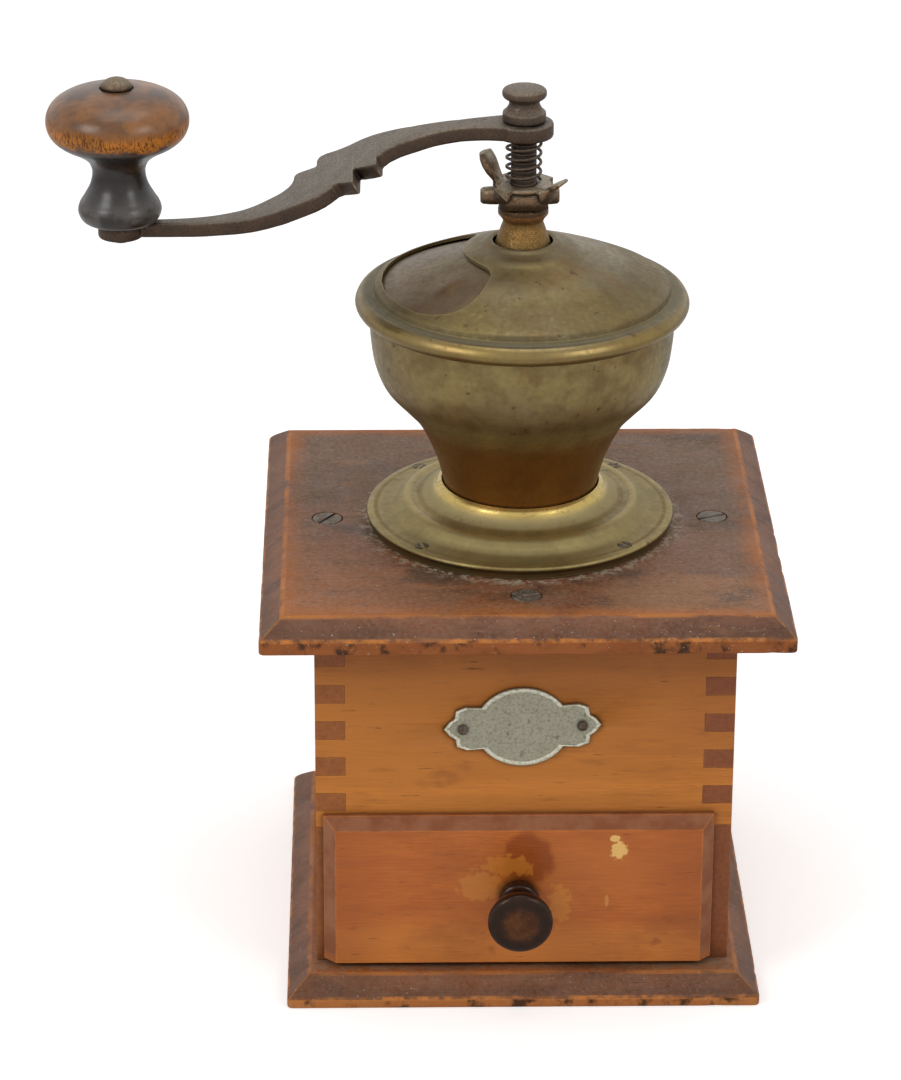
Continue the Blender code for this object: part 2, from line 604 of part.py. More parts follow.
def build_drawer():
    """The drawer's bevelled overlay front, its box and its turned knob."""
    left = FRONT_SHIFT - FRONT_W / 2
    right = FRONT_SHIFT + FRONT_W / 2
    top = FRONT_Z + FRONT_H
    edge = FRONT_BACK - FRONT_EDGE
    plan = [(left, FRONT_BACK), (left, edge), (left + FRONT_BEVEL, FRONT_FACE),
            (right - FRONT_BEVEL, FRONT_FACE), (right, edge), (right, FRONT_BACK)]
    side = [(FRONT_BACK, FRONT_Z), (FRONT_FACE, FRONT_Z), (FRONT_FACE, top - FRONT_BEVEL), (edge, top),
            (FRONT_BACK, top)]
    front = prism("drawer_front", plan, "Z", FRONT_Z, top, OILED_BEECH)
    combine(front, prism("drawer_front_side", side, "X", left - OVERRUN, right + OVERRUN), "INTERSECT")
    outer = BOX_W / 2 - WALL_T - DRAWER_PLAY
    tongue_back = BOX_FRONT + TONGUE_T
    tongue_top = WALL_Z + TONGUE_H
    tongue = box("drawer_tongue", (-outer, FRONT_BACK - GAP / 4, WALL_Z), (outer, tongue_back, tongue_top))
    join(front, tongue)
    near = tongue_back + GAP
    far = BOX_D / 2 - WALL_T - DRAWER_PLAY
    low, high = WALL_Z, WALL_Z + TONGUE_H - DRAWER_SIDE_DROP
    floor = low + DRAWER_BOTTOM_RISE
    groove = outer - DRAWER_WALL + GROOVE_DEPTH
    slab = ((-groove, tongue_back - GROOVE_DEPTH, floor),
            (groove, far - DRAWER_WALL + GROOVE_DEPTH, floor + DRAWER_BOTTOM_T))
    gap = Vector((GAP, GAP, GAP))
    sides = []
    for name, sign in (("drawer_left_side", -1), ("drawer_right_side", 1)):
        xs = sorted((sign * outer, sign * (outer - DRAWER_WALL)))
        sides.append(box(name, (xs[0], near, low), (xs[1], far, high), OILED_BEECH))
    inner = outer - DRAWER_WALL - GAP
    sides.append(box("drawer_back", (-inner, far - DRAWER_WALL, low), (inner, far, high), OILED_BEECH))
    box("drawer_bottom", *slab, OILED_BEECH)
    groove_cutter = box("drawer_groove", Vector(slab[0]) - gap, Vector(slab[1]) + gap)
    for piece in sides + [front]:
        cut(piece, groove_cutter)
    profile = sized(KNOB_PROFILE_SHARES, KNOB_R, KNOB_L)
    hole_r = KNOB_SCREW_R + GAP
    reach = KNOB_SCREW_L - (tongue_back - FRONT_FACE)
    loop = [(0, KNOB_L)] + profile[::-1] + [(hole_r, 0), (hole_r, reach), (0, reach)]
    out = Vector((0, -1, 0)).to_track_quat("Z", "Y").to_matrix().to_4x4()
    turned("drawer_knob", loop, EBONISED, MID_STEPS, (FRONT_SHIFT, FRONT_FACE - GAP, KNOB_Z), out)
    head = KNOB_SCREW_HEAD_H
    tip = KNOB_SCREW_L - head
    loop = [(0, tip), (KNOB_SCREW_R, tip - KNOB_SCREW_R), (KNOB_SCREW_R, 0), (KNOB_SCREW_HEAD_R, 0),
            (KNOB_SCREW_HEAD_R, -head * 0.6), (KNOB_SCREW_HEAD_R * 0.6, -head), (0, -head)]
    turned("drawer_knob_screw", loop, STEEL, SMALL_STEPS, (FRONT_SHIFT, tongue_back + GAP, KNOB_Z), out)
    cut(front, rod("knob_hole", KNOB_SCREW_R + GAP, (FRONT_SHIFT, FRONT_FACE - OVERRUN, KNOB_Z),
                   (FRONT_SHIFT, tongue_back + OVERRUN, KNOB_Z)))


def build_name_plate(panel):
    """A plain stamped plate with an oval middle and two eared ends, held by two nails."""
    oval_w = PLATE_W * PLATE_OVAL_SHARE / 2
    ear = [(PLATE_W / 2 * x, PLATE_H / 2 * y) for x, y in PLATE_EAR_SHARES]
    start = math.asin(min(1.0, ear[-1][1] / (PLATE_H / 2)))
    steps = SMALL_STEPS // 2
    oval = [(oval_w * math.cos(a) * 1.04, PLATE_H / 2 * math.sin(a))
            for a in (start + (math.pi - 2 * start) * k / steps for k in range(steps + 1))]
    upper = ear[:-1] + oval + [(-x, y) for x, y in reversed(ear)][1:]
    outline = upper + [(x, -y) for x, y in reversed(upper)][1:-1]
    tilt = math.radians(PLATE_TILT_DEG)
    across, up = math.cos(tilt), math.sin(tilt)
    spun = [(PLATE_X + x * across - z * up, PLATE_Z + x * up + z * across) for x, z in outline]
    back = BOX_FRONT - GAP
    plate = prism("name_plate", spun, "Y", back - PLATE_T, back, ZINC)
    for side, sign in (("left", -1), ("right", 1)):
        x = PLATE_X + sign * NAIL_SPREAD * math.cos(tilt)
        z = PLATE_Z + sign * NAIL_SPREAD * math.sin(tilt)
        face = back - PLATE_T - GAP
        loop = [(0, NAIL_HEAD_H), (NAIL_HEAD_R * 0.6, NAIL_HEAD_H * 0.85), (NAIL_HEAD_R, NAIL_HEAD_H * 0.3),
                (NAIL_HEAD_R, 0), (NAIL_R, 0), (NAIL_R, NAIL_R - NAIL_L), (0, -NAIL_L)]
        out = Vector((0, -1, 0)).to_track_quat("Z", "Y").to_matrix().to_4x4()
        turned("plate_nail_" + side, loop, STEEL, SMALL_STEPS, (x, face, z), out)
        hole = rod("nail_hole_" + side, NAIL_R + GAP, (x, face - OVERRUN, z), (x, face + NAIL_L + GAP, z))
        cut(plate, hole)
        cut(panel, hole)


def cone_height(radius, drop=0.0):
    """Height of the lid's dome over a radius."""
    outline = sized(LID_SHARES, LID_R, LID_H, LID_Z)
    (inner_r, inner_z), (outer_r, outer_z) = [outline[k] for k in LID_CONE]
    slope = (outer_z - inner_z) / (outer_r - inner_r)
    return inner_z + slope * (radius - inner_r) - drop


def opening_outline():
    """The filling opening in the lid, seen from above: a sector with swept corners."""
    span = OPENING_TO_DEG - OPENING_FROM_DEG
    depth = OPENING_R1 - OPENING_R0
    half = OPENING_INNER_SHARES + OPENING_CORNER_SHARES
    ends = [(t, s) for t, s in half] + [(1 - t, s) for t, s in reversed(half)]
    polar = rounded(ends, 2)
    inner = [(1 - t / 4, 0.0) for t in range(1, 4)]
    points = []
    for t, s in polar + inner:
        angle = math.radians(OPENING_FROM_DEG + span * t)
        radius = OPENING_R0 + depth * s
        points.append((radius * math.cos(angle), radius * math.sin(angle)))
    return points


def build_brass(board):
    """Flange, hopper bowl, lid with its opening and the shutter that turns under it."""
    outline = sized(FLANGE_SHARES, FLANGE_R, FLANGE_H, FLANGE_Z)[::-1]
    flange = turned("base_flange", sheet_loop(outline, SHEET_T), AGED_BRASS, WIDE_STEPS)
    annulus = FLANGE_Z + FLANGE_H * (FLANGE_SHARES[FLANGE_SEAT - 1][1] + FLANGE_SHARES[FLANGE_SEAT][1]) / 2
    sizes = (FLANGE_SCREW_HEAD_R, FLANGE_SCREW_R, FLANGE_SCREW_L)
    for k in range(4):
        angle = math.radians(45 + 90 * k)
        reach = FLANGE_SCREW_AT * math.sqrt(2)
        at = (reach * math.cos(angle), reach * math.sin(angle), annulus + GAP / 2)
        label = str(k + 1)
        screw("flange_screw_" + label, *sizes, at, (0, 0, -1), slot_deg=35.0 * (k + 1))
        screw_hole("flange_hole_" + label, flange, *sizes, at, (0, 0, -1))
        cut(board, rod("flange_pilot_" + label, FLANGE_SCREW_R + GAP, (at[0], at[1], annulus),
                       (at[0], at[1], at[2] - FLANGE_SCREW_L - GAP)))
    bowl = sized(HOPPER_SHARES, HOPPER_R, HOPPER_H, HOPPER_Z)
    turned("hopper_bowl", sheet_loop(bowl, SHEET_T), AGED_BRASS, WIDE_STEPS)
    dome = sized(LID_SHARES, LID_R, LID_H, LID_Z)
    lid = turned("lid", sheet_loop(dome, SHEET_T), AGED_BRASS, WIDE_STEPS)
    cut(lid, prism("lid_opening", opening_outline(), "Z", LID_Z, LID_Z + LID_H + OVERRUN))
    drop = SHUTTER_DROP
    eye_r = NECK_COLUMN_R * NECK_SHARES[-1][0] + 2 * GAP
    leaf = [(SHUTTER_EYE_R, cone_height(SHUTTER_EYE_R, drop)), (SHUTTER_R, cone_height(SHUTTER_R, drop))]
    under = [(r, z - SHUTTER_T) for r, z in reversed(leaf)]
    inside = [(SHUTTER_EYE_R - OVERRUN, leaf[0][1] - SHUTTER_T), (SHUTTER_EYE_R - OVERRUN, leaf[0][1])]
    shutter = turned("lid_shutter", leaf + under + inside, AGED_BRASS, WIDE_STEPS)
    start = math.radians(OPENING_FROM_DEG - SHUTTER_LAP_DEG)
    end = math.radians(OPENING_TO_DEG + SHUTTER_LAP_DEG)
    far = SHUTTER_R * 1.6
    fan = [(0, 0)] + [(far * math.cos(a), far * math.sin(a)) for a in np.linspace(start, end, 7)]
    combine(shutter, prism("shutter_fan", fan, "Z", LID_Z, LID_Z + LID_H), "INTERSECT")
    eye_z = leaf[0][1] - SHUTTER_T
    eye = [(SHUTTER_EYE_R, eye_z + SHUTTER_T * 0.9), (SHUTTER_EYE_R, eye_z + SHUTTER_T * 0.1),
           (eye_r, eye_z + SHUTTER_T * 0.1), (eye_r, eye_z + SHUTTER_T * 0.9)]
    join(shutter, turned("shutter_eye", eye, None, MID_STEPS))
    thumb = sized(THUMB_SHARES, THUMB_HALF_W, THUMB_H)[::-1]
    thumb += [(THUMB_HALF_W, -SHUTTER_T / 2), (0, -SHUTTER_T / 2)]
    fall = math.atan2(leaf[0][1] - leaf[1][1], SHUTTER_R - SHUTTER_EYE_R)
    place = Matrix.Rotation(math.radians(THUMB_AT_DEG), 4, "Z")
    place = place @ Matrix.Translation((THUMB_AT_R, 0, cone_height(THUMB_AT_R, drop)))
    place = place @ Matrix.Rotation(fall, 4, "Y") @ Matrix.Diagonal((1, THUMB_LENGTHENING, 1, 1))
    join(shutter, turned("thumb_ridge", thumb, None, SMALL_STEPS, turn=place))
    return eye_z


def toothed(radius, tooth, teeth, twist, sign):
    """Radii round one turn of saw-shaped teeth, for a section turned by twist."""
    count = teeth * TOOTH_STEPS
    k = np.arange(count)
    phase = (k % TOOTH_STEPS) / TOOTH_STEPS
    depth = tooth * np.where(phase < 0.5, phase * 2, 2 - phase * 2)
    angle = 2 * np.pi * k / count + twist
    r = radius + sign * depth
    return r * np.cos(angle), r * np.sin(angle)


def lofted(name, rings, finish):
    """A closed tube through rings of equal count, joined ring to ring and back to the first."""
    count = len(rings[0])
    points = [p for ring in rings for p in ring]
    faces = []
    total = len(rings)
    for i in range(total):
        j = (i + 1) % total
        for a in range(count):
            b = (a + 1) % count
            faces.append((i * count + a, i * count + b, j * count + b, j * count + a))
    mesh = bpy.data.meshes.new(name)
    mesh.from_pydata(points, [], faces)
    work = bmesh.new()
    work.from_mesh(mesh)
    return add(name, tidy(work, name), finish)


def ring_of(radius, count, z, twist=0.0):
    angle = 2 * np.pi * np.arange(count) / count + twist
    return [(radius * c, radius * s, z) for c, s in zip(np.cos(angle), np.sin(angle))]


def build_burrs():
    """The outer burr ring hung in the top board and the toothed cone that turns inside it."""
    count = RING_TEETH * TOOTH_STEPS
    twist = math.radians(TEETH_TWIST_DEG)
    lip_z = FLANGE_Z
    rings = []
    bore_top = RING_TOP_Z - RING_Z
    for share, height in RING_BORE_SHARES:
        z = RING_Z + min(BURR_H * height, bore_top)
        fade = max(0.0, 1 - height)
        x, y = toothed(BURR_R * share, BURR_TOOTH * min(1.0, fade * 2), RING_TEETH, -twist * height, 1)
        rings.append([(a, b, z) for a, b in zip(x, y)])
    end_twist = -twist * RING_BORE_SHARES[-1][1]
    outer = [(RING_SPIGOT_R, RING_TOP_Z), (RING_SPIGOT_R, RING_SHOULDER_Z), (RING_R - GAP, RING_SHOULDER_Z),
             (RING_R - GAP, lip_z + RING_LIP_T), (RING_LIP_R, lip_z + RING_LIP_T), (RING_LIP_R, lip_z),
             (RING_R, lip_z), (RING_R, RING_Z)]
    for k, (r, z) in enumerate(outer):
        rings.append(ring_of(r, count, z, end_twist * (1 - k / (len(outer) - 1))))
    ring = lofted("burr_ring", rings, IRON)
    cone_z = RING_Z + BURR_BASE_GAP
    cone_h = BURR_H
    count = CONE_TEETH * TOOTH_STEPS
    rings = []
    for share, height in CONE_SHARES:
        radius = (BURR_R - BURR_RUN) * share
        x, y = toothed(radius, -BURR_TOOTH * (1 - height / 2), CONE_TEETH, twist * height, 1)
        rings.append([(a, b, cone_z + cone_h * height) for a, b in zip(x, y)])
    rings.append(ring_of(BORE_R, count, cone_z + cone_h, twist))
    rings.append(ring_of(BORE_R, count, cone_z))
    lofted("burr_cone", rings, IRON)
    return ring, cone_z + cone_h


def build_bearings(ring, cone_top, eye_z):
    """Neck and yoke above the burrs, bar below them, and the spindle through all."""
    neck = sized(NECK_SHARES, NECK_COLUMN_R, NECK_H, BRIDGE_Z)
    shoulder = eye_z - GAP
    hub_z = BRIDGE_Z + YOKE_RISE - YOKE_T
    loop = [p for p in neck if p[1] > shoulder] + [
        (NECK_COLUMN_R * NECK_SHARES[-1][0], shoulder), (NECK_SHOULDER_R, shoulder),
        (NECK_SHOULDER_R, shoulder - NECK_SHOULDER_T), (NECK_COLUMN_R, shoulder - 3 * NECK_SHOULDER_T),
        (NECK_COLUMN_R, hub_z), (0, hub_z)]
    bridge = turned("bearing_bridge", [(0, NECK_TOP_Z)] + loop, BRONZE, MID_STEPS)
    rise, reach, foot = YOKE_RISE, YOKE_REACH, YOKE_T
    arch = [(reach, 0), (reach, foot), (reach - 1.3 * foot, foot), (reach * 0.60, rise * 0.62),
            (reach * 0.42, rise), (0, rise + foot * 0.4)]
    hollow = [(reach - 1.9 * foot, 0), (reach * 0.38, rise * 0.42), (reach * 0.28, rise * 0.66),
              (0, rise - foot)]
    upper = [(x, BRIDGE_Z + z) for x, z in arch]
    lower = [(x, BRIDGE_Z + z) for x, z in hollow]
    outline = lower[::-1][1:] + upper[:-1]
    outline = [(0, lower[-1][1])] + outline + [(0, upper[-1][1])]
    mirrored = [(-x, z) for x, z in reversed(outline) if x > 0]
    yoke = prism("yoke", outline + mirrored, "Y", -YOKE_W / 2, YOKE_W / 2)
    join(bridge, yoke)
    bore = rod("neck_bore", BORE_R, (0, 0, BRIDGE_Z - OVERRUN), (0, 0, NECK_TOP_Z + OVERRUN), steps=MID_STEPS)
    cut(bridge, bore)
    bar = box("lower_bearing_bar", (-RING_R, -BAR_W / 2, BAR_Z), (RING_R, BAR_W / 2, BAR_Z + BAR_T), IRON)
    bore = rod("bar_bore", BORE_R, (0, 0, BAR_Z - OVERRUN), (0, 0, BAR_Z + BAR_T + OVERRUN), steps=MID_STEPS)
    cut(bar, bore)
    bar_x = (RING_R + BURR_R + BURR_TOOTH) / 2
    head_h = MACHINE_SCREW_HEAD_R * ROUND_HEAD_SHARE
    for side, sign in (("left", -1), ("right", 1)):
        at = (sign * YOKE_SCREW_X, 0, BRIDGE_Z + YOKE_T + GAP + head_h)
        below = (sign * bar_x, 0, BAR_Z - GAP - head_h)
        for label, place, way, plate in (("bridge", at, -1, bridge), ("bar", below, 1, bar)):
            name = label + "_screw_" + side
            screw(name, MACHINE_SCREW_HEAD_R, MACHINE_SCREW_R, MACHINE_SCREW_L, place, (0, 0, way),
                  countersunk=False)
            start = (place[0], 0, place[2] + way * (head_h - OVERRUN))
            end = (place[0], 0, place[2] + way * (MACHINE_SCREW_L + GAP))
            hole = rod(name + "_hole", MACHINE_SCREW_R + GAP, start, end)
            cut(plate, hole)
            cut(ring, hole)
    top, collar = SPINDLE_TOP_Z, cone_top + GAP
    loop = [(0, top), (SPINDLE_R * 0.8, top), (SPINDLE_R, top - SPINDLE_R * 0.2),
            (SPINDLE_R, collar + SPINDLE_COLLAR_H), (SPINDLE_COLLAR_R, collar + SPINDLE_COLLAR_H),
            (SPINDLE_COLLAR_R, collar), (SPINDLE_R, collar), (SPINDLE_R, SPINDLE_Z), (0, SPINDLE_Z)]
    turned("spindle", loop, IRON, MID_STEPS)


def build_adjuster():
    """The pegged adjusting nut, the eared lock plate that grips its corners, and the spring on the plate."""
    half, small = ADJUST_HALF, ADJUST_HALF - ADJUST_CHAMFER
    outline = [(half, -small), (half, small), (small, half), (-small, half), (-half, small), (-half, -small),
               (-small, -half), (small, -half)]
    nut = prism("adjusting_nut", outline, "Z", ADJUST_Z, ADJUST_Z + ADJUST_H, IRON)
    peg_z = ADJUST_Z + ADJUST_H / 2
    for name, way, reach in (("left_peg", -1, PEG_LEFT_REACH), ("right_peg", 1, PEG_RIGHT_REACH)):
        barrel = [(PEG_R * r, reach * (1 - s)) for r, s in PEG_SHARES]
        loop = [(0, reach)] + barrel + [(barrel[-1][0], half / 2), (0, half / 2)]
        turn = Vector((way, 0, 0)).to_track_quat("Z", "Y").to_matrix().to_4x4()
        join(nut, turned(name, loop, None, SMALL_STEPS, (0, 0, peg_z), turn))
    bore = rod("nut_bore", BORE_R, (0, 0, ADJUST_Z - OVERRUN), (0, 0, ADJUST_Z + ADJUST_H + OVERRUN),
               steps=MID_STEPS)
    cut(nut, bore)
    low, high = LOCK_Z, LOCK_Z + LOCK_T
    plate = rod("lock_plate", LOCK_R, (0, 0, low), (0, 0, high), IRON, MID_STEPS)
    corner = (2 * ADJUST_HALF - ADJUST_CHAMFER) / math.sqrt(2) + GAP
    for k in range(4):
        turn = Matrix.Rotation(math.radians(45 + 90 * k), 4, "Z")
        arm = [(LOCK_R / 2, low), (corner, low), (corner, low - TAB_DROP), (corner + LOCK_T, low - TAB_DROP),
               (corner + LOCK_T, high), (LOCK_R / 2, high)]
        side = TAB_W / 2
        foot = low - TAB_DROP
        face = [(-side, foot + TAB_CORNER), (TAB_CORNER - side, foot), (side - TAB_CORNER, foot),
                (side, foot + TAB_CORNER), (side, high + OVERRUN), (-side, high + OVERRUN)]
        tab = prism("lock_tab_" + str(k + 1), arm, "Y", -TAB_W, TAB_W)
        tab.data.transform(turn)
        shape = prism("lock_tab_face_" + str(k + 1), face, "X", 0, corner + 2 * LOCK_T)
        shape.data.transform(turn)
        join(plate, combine(tab, shape, "INTERSECT"))
    leaf = [(LOCK_R * x, EAR_W / 2 * y) for x, y in EAR_PLAN_SHARES]
    leaf += [(x, -y) for x, y in reversed(leaf)]
    swing = Matrix.Rotation(math.radians(EAR_TURN_DEG), 4, "Z")
    for name, shares, way in (("lock_ear", EAR_SHARES, 1), ("lock_low_ear", LOW_EAR_SHARES, -1)):
        outline = [(LOCK_R * x, low + LOCK_T * z) for x, z in shares]
        ear = prism(name, outline, "Y", -EAR_W, EAR_W)
        ear.data.transform(swing)
        seen = [(way * x, y) for x, y in leaf]
        shape = prism(name + "_leaf", seen, "Z", low - OVERRUN, high + LOCK_R * 2)
        shape.data.transform(swing)
        join(plate, combine(ear, shape, "INTERSECT"))
    cut(plate, rod("lock_bore", BORE_R, (0, 0, low - OVERRUN), (0, 0, high + OVERRUN), steps=MID_STEPS))
    build_spring()


def build_spring():
    """One wire in open curls. Its closest approach to itself is one rise less the wire."""
    count = int(SPRING_TURNS * SPRING_STEPS)
    k = np.arange(count + 1)
    angle = 2 * np.pi * k / SPRING_STEPS
    rise = (SPRING_H - 2 * SPRING_WIRE_R) / count
    z = SPRING_Z + SPRING_WIRE_R + rise * k
    points = np.stack([SPRING_R * np.cos(angle) * 0.98, SPRING_R * np.sin(angle) * 0.98, z], 1)
    curve = bpy.data.curves.new("lock_spring", "CURVE")
    curve.dimensions = "3D"
    curve.bevel_depth = SPRING_WIRE_R
    curve.bevel_resolution = 1
    curve.use_fill_caps = True
    spline = curve.splines.new("POLY")
    spline.points.add(count)
    for point, place in zip(spline.points, points):
        point.co = (*place, 1)
    spring = bpy.data.objects.new("lock_spring", curve)
    curve.materials.append(material(IRON))
    PARTS.objects.link(spring)
    apart = np.linalg.norm(points[:, None] - points[None], axis=2)
    far_along = np.abs(k[:, None] - k[None]) > SPRING_STEPS // 2
    least = apart[far_along].min() - 2 * SPRING_WIRE_R
    print(f"spring: least gap between its curls {least / MM:.2f} mm")


def build_crank():
    """The S-bent arm, cut to a scrolled outline, with its nut, turned knob and knob pin."""
    line = [(CRANK_R * (s - 1), CRANK_END_Z + CRANK_DROP * h) for s, h in CRANK_ELEVATION_SHARES]
    arm = prism("crank_arm", sheet_loop(line, CRANK_T), "Y", -2 * CRANK_HALF_W, 2 * CRANK_HALF_W, IRON)
    outline = [(CRANK_R * (s - 1), CRANK_HALF_W * w) for s, w in CRANK_BACK_SHARES + CRANK_FRONT_SHARES[::-1]]
    plan = prism("crank_plan", outline, "Z", CRANK_END_Z - CRANK_DROP, CRANK_TOP_Z + CRANK_DROP)
    high, deep = CRANK_TOP_Z + CRANK_DROP, CRANK_END_Z - CRANK_DROP
    join(plan, rod("crank_eye", CRANK_EYE_R, (0, 0, deep), (0, 0, high), steps=MID_STEPS))
    join(plan, rod("crank_end_eye", CRANK_END_R, (-CRANK_R, 0, deep), (-CRANK_R, 0, high), steps=MID_STEPS))
    combine(arm, plan, "INTERSECT")
    cut(arm, rod("crank_bore", BORE_R, (0, 0, deep), (0, 0, high), steps=MID_STEPS))
    cut(arm, rod("pin_hole", PIN_R + GAP, (-CRANK_R, 0, deep), (-CRANK_R, 0, high)))
    profile = sized(CRANK_NUT_SHARES, CRANK_NUT_R, CRANK_NUT_H, CRANK_NUT_Z)
    loop = [(0, CRANK_NUT_Z + CRANK_NUT_H)] + profile[::-1]
    loop += [(BORE_R, CRANK_NUT_Z), (BORE_R, CRANK_NUT_CEILING_Z), (0, CRANK_NUT_CEILING_Z)]
    turned("crank_nut", loop, IRON, MID_STEPS)
    outer = sized(HANDLE_SHARES, HANDLE_R, HANDLE_H)[::-1]
    dish = HANDLE_H * HANDLE_SHARES[-1][1] - HANDLE_DISH
    loop = outer + [(HANDLE_BORE_R, 0), (HANDLE_BORE_R, dish), (HANDLE_DISH_R, dish)]
    turned("crank_knob", loop, HANDLE_WOOD, MID_STEPS, (-CRANK_R, 0, HANDLE_Z))
    seat = dish + GAP
    dome = [(0, seat + PIN_HEAD_H)]
    dome += [(PIN_HEAD_R * math.cos(a), seat + PIN_HEAD_H * math.sin(a))
             for a in np.linspace(math.pi / 2, 0, 6)[1:]]
    tail_z = CRANK_END_Z - CRANK_T - GAP - HANDLE_Z
    loop = dome + [(PIN_R, seat), (PIN_R, tail_z), (PIN_TAIL_R, tail_z),
                   (PIN_TAIL_R * 0.7, tail_z - PIN_TAIL), (0, tail_z - PIN_TAIL)]
    turned("crank_knob_pin", loop, IRON, SMALL_STEPS, (-CRANK_R, 0, HANDLE_Z))


def main():
    board, walls = build_box()
    build_drawer()
    build_name_plate(walls["front_panel"])
    eye_z = build_brass(board)
    ring, cone_top = build_burrs()
    build_bearings(ring, cone_top, eye_z)
    build_adjuster()
    build_crank()


main()
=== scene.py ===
"""Finishes a hand-cranked box coffee mill for a picture: old beech, spun brass and rusted iron, in soft light."""

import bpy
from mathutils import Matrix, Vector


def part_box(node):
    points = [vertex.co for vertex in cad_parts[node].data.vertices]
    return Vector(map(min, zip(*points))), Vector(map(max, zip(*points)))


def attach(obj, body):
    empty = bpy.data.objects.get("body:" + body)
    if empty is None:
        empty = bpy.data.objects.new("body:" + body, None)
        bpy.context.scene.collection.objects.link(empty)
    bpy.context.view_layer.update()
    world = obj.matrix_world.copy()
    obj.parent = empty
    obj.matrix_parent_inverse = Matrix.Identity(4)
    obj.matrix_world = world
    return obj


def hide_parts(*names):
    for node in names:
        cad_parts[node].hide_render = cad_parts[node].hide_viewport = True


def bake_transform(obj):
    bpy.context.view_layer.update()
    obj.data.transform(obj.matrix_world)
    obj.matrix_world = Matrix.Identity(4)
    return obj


bl_info = {
    "name": "Box coffee mill finish",
    "version": (1, 0, 0),
    "blender": (4, 5, 0),
    "location": "3D View > Sidebar > Coffee mill",
    "description": "Surfaces, worn finishes, light and camera for a hand-cranked box coffee mill",
    "category": "Object",
}

import math

import bmesh
import bpy
import numpy as np
from bpy.props import FloatProperty, FloatVectorProperty, IntProperty, PointerProperty
from mathutils import Matrix, Vector

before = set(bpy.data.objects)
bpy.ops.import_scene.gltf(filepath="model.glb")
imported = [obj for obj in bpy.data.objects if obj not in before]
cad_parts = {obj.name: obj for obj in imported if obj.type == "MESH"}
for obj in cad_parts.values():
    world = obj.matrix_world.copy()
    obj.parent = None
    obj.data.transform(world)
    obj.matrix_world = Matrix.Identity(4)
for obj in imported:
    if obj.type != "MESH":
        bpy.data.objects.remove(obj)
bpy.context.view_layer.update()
MM = 0.001

# Corners nearer than this are one corner, in a new mesh or in a copy of a CAD node
MERGED_WITHIN = 0.002 * MM
# The sides of the top board's and the base board's screws
TOP_SCREWS = ("left", "right", "front", "back")
BASE_SCREWS = ("left_front", "left_back", "right_front", "right_back")
# The boards: their upright corners, the straight edge under each bevel, the bevel's width, the hole for the
# burr ring, and the seats for the screw heads
BOARD_CORNER = 1.6 * MM
TOP_EDGE, BASE_EDGE = 4.3 * MM, 3.1 * MM
BEVEL_WIDTH = 6.4 * MM
RING_HOLE = 25.1 * MM
HEAD_SEAT, HEAD_DEPTH = 4.62 * MM, 3.1 * MM
# How far each wall's faces move out, which closes the glued comb joints
GLUE_GROWTH = 0.12 * MM
# The name plate: its half sizes, its turn on the wall, its rim's half width and how far its sheet stands back
PLATE_HALF = (22.5 * MM, 12.3 * MM)
PLATE_TILT = math.radians(1.8)
PLATE_RIM = 0.6 * MM
PLATE_SHEET = 0.34 * MM
# The shutter: how far its leaf goes on past the opening, its inner and outer reach, its sheet, and the place
# of its thumb bump
SHUTTER_LAP = math.radians(14)
SHUTTER_REACH = (13.2 * MM, 41.1 * MM)
SHUTTER_SHEET = 0.7 * MM
THUMB_REACH, THUMB_ANGLE = 26.5 * MM, math.radians(217)
# The lock spring: its wire's and its coil's radius, and its turns
SPRING_WIRE = 0.44 * MM
SPRING_RADIUS = 4.85 * MM
SPRING_TURNS = 4.5
# The camera, solved from the photograph: its place, its yaw, pitch and roll in degrees, and its focal length
CAMERA_AT = (-43.62 * MM, -1119.392 * MM, 615.769 * MM)
CAMERA_TURN = (1.195, 24.016, 0.235)
FOCAL_PIXELS, PHOTO_HEIGHT, SENSOR = 4172.004, 1080, 36.0
# Each soft lamp: its name, place, width and power
LAMPS = [("lamp_left", (-0.95, -0.75, 0.95), 0.55, 5.0), ("lamp_right", (0.85, -0.85, 0.9), 0.5, 3.4),
         ("lamp_top", (0.0, 0.15, 1.5), 0.9, 4.6)]

# Outlines turned about an axis, as shares of the piece's radius and height
BOWL = [(0.488, 0.0), (0.514, 0.099), (0.549, 0.197), (0.592, 0.276), (0.645, 0.355), (0.705, 0.424),
        (0.80, 0.498), (0.905, 0.582), (0.962, 0.681), (0.985, 0.779), (0.995, 0.868), (1.0, 1.0)]
FLANGE = [(0.985, 0.0), (0.985, 0.13), (1.0, 0.18), (1.0, 0.235), (0.985, 0.28), (0.93, 0.297), (0.875, 0.31),
          (0.845, 0.335), (0.82, 0.40), (0.798, 0.49), (0.772, 0.575), (0.74, 0.61), (0.70, 0.60), (0.655, 0.62),
          (0.60, 0.71), (0.558, 0.86), (0.536, 0.955), (0.513, 1.0)]
LID_CROWN = [(0.180, 0.985), (0.194, 1.0), (0.212, 0.992), (0.235, 0.955), (0.265, 0.93), (0.305, 0.905),
             (0.355, 0.85)]
LID_CONE = [(0.355, 0.85), (0.50, 0.735), (0.68, 0.57), (0.845, 0.40), (0.879, 0.357)]
LID_STEP = [(0.882, 0.345), (0.888, 0.285), (0.892, 0.272)]
LID_BEAD = [(0.903, 0.266), (0.935, 0.250), (0.962, 0.243), (0.986, 0.195), (1.0, 0.115), (0.99, 0.045),
            (0.968, 0.0), (0.946, 0.005)]
OPENING = [(0.24, 0.0), (0.10, 0.03), (0.03, 0.10), (0.0, 0.22), (0.0, 0.50), (0.025, 0.72), (0.075, 0.88),
           (0.17, 0.985), (0.30, 1.0)]
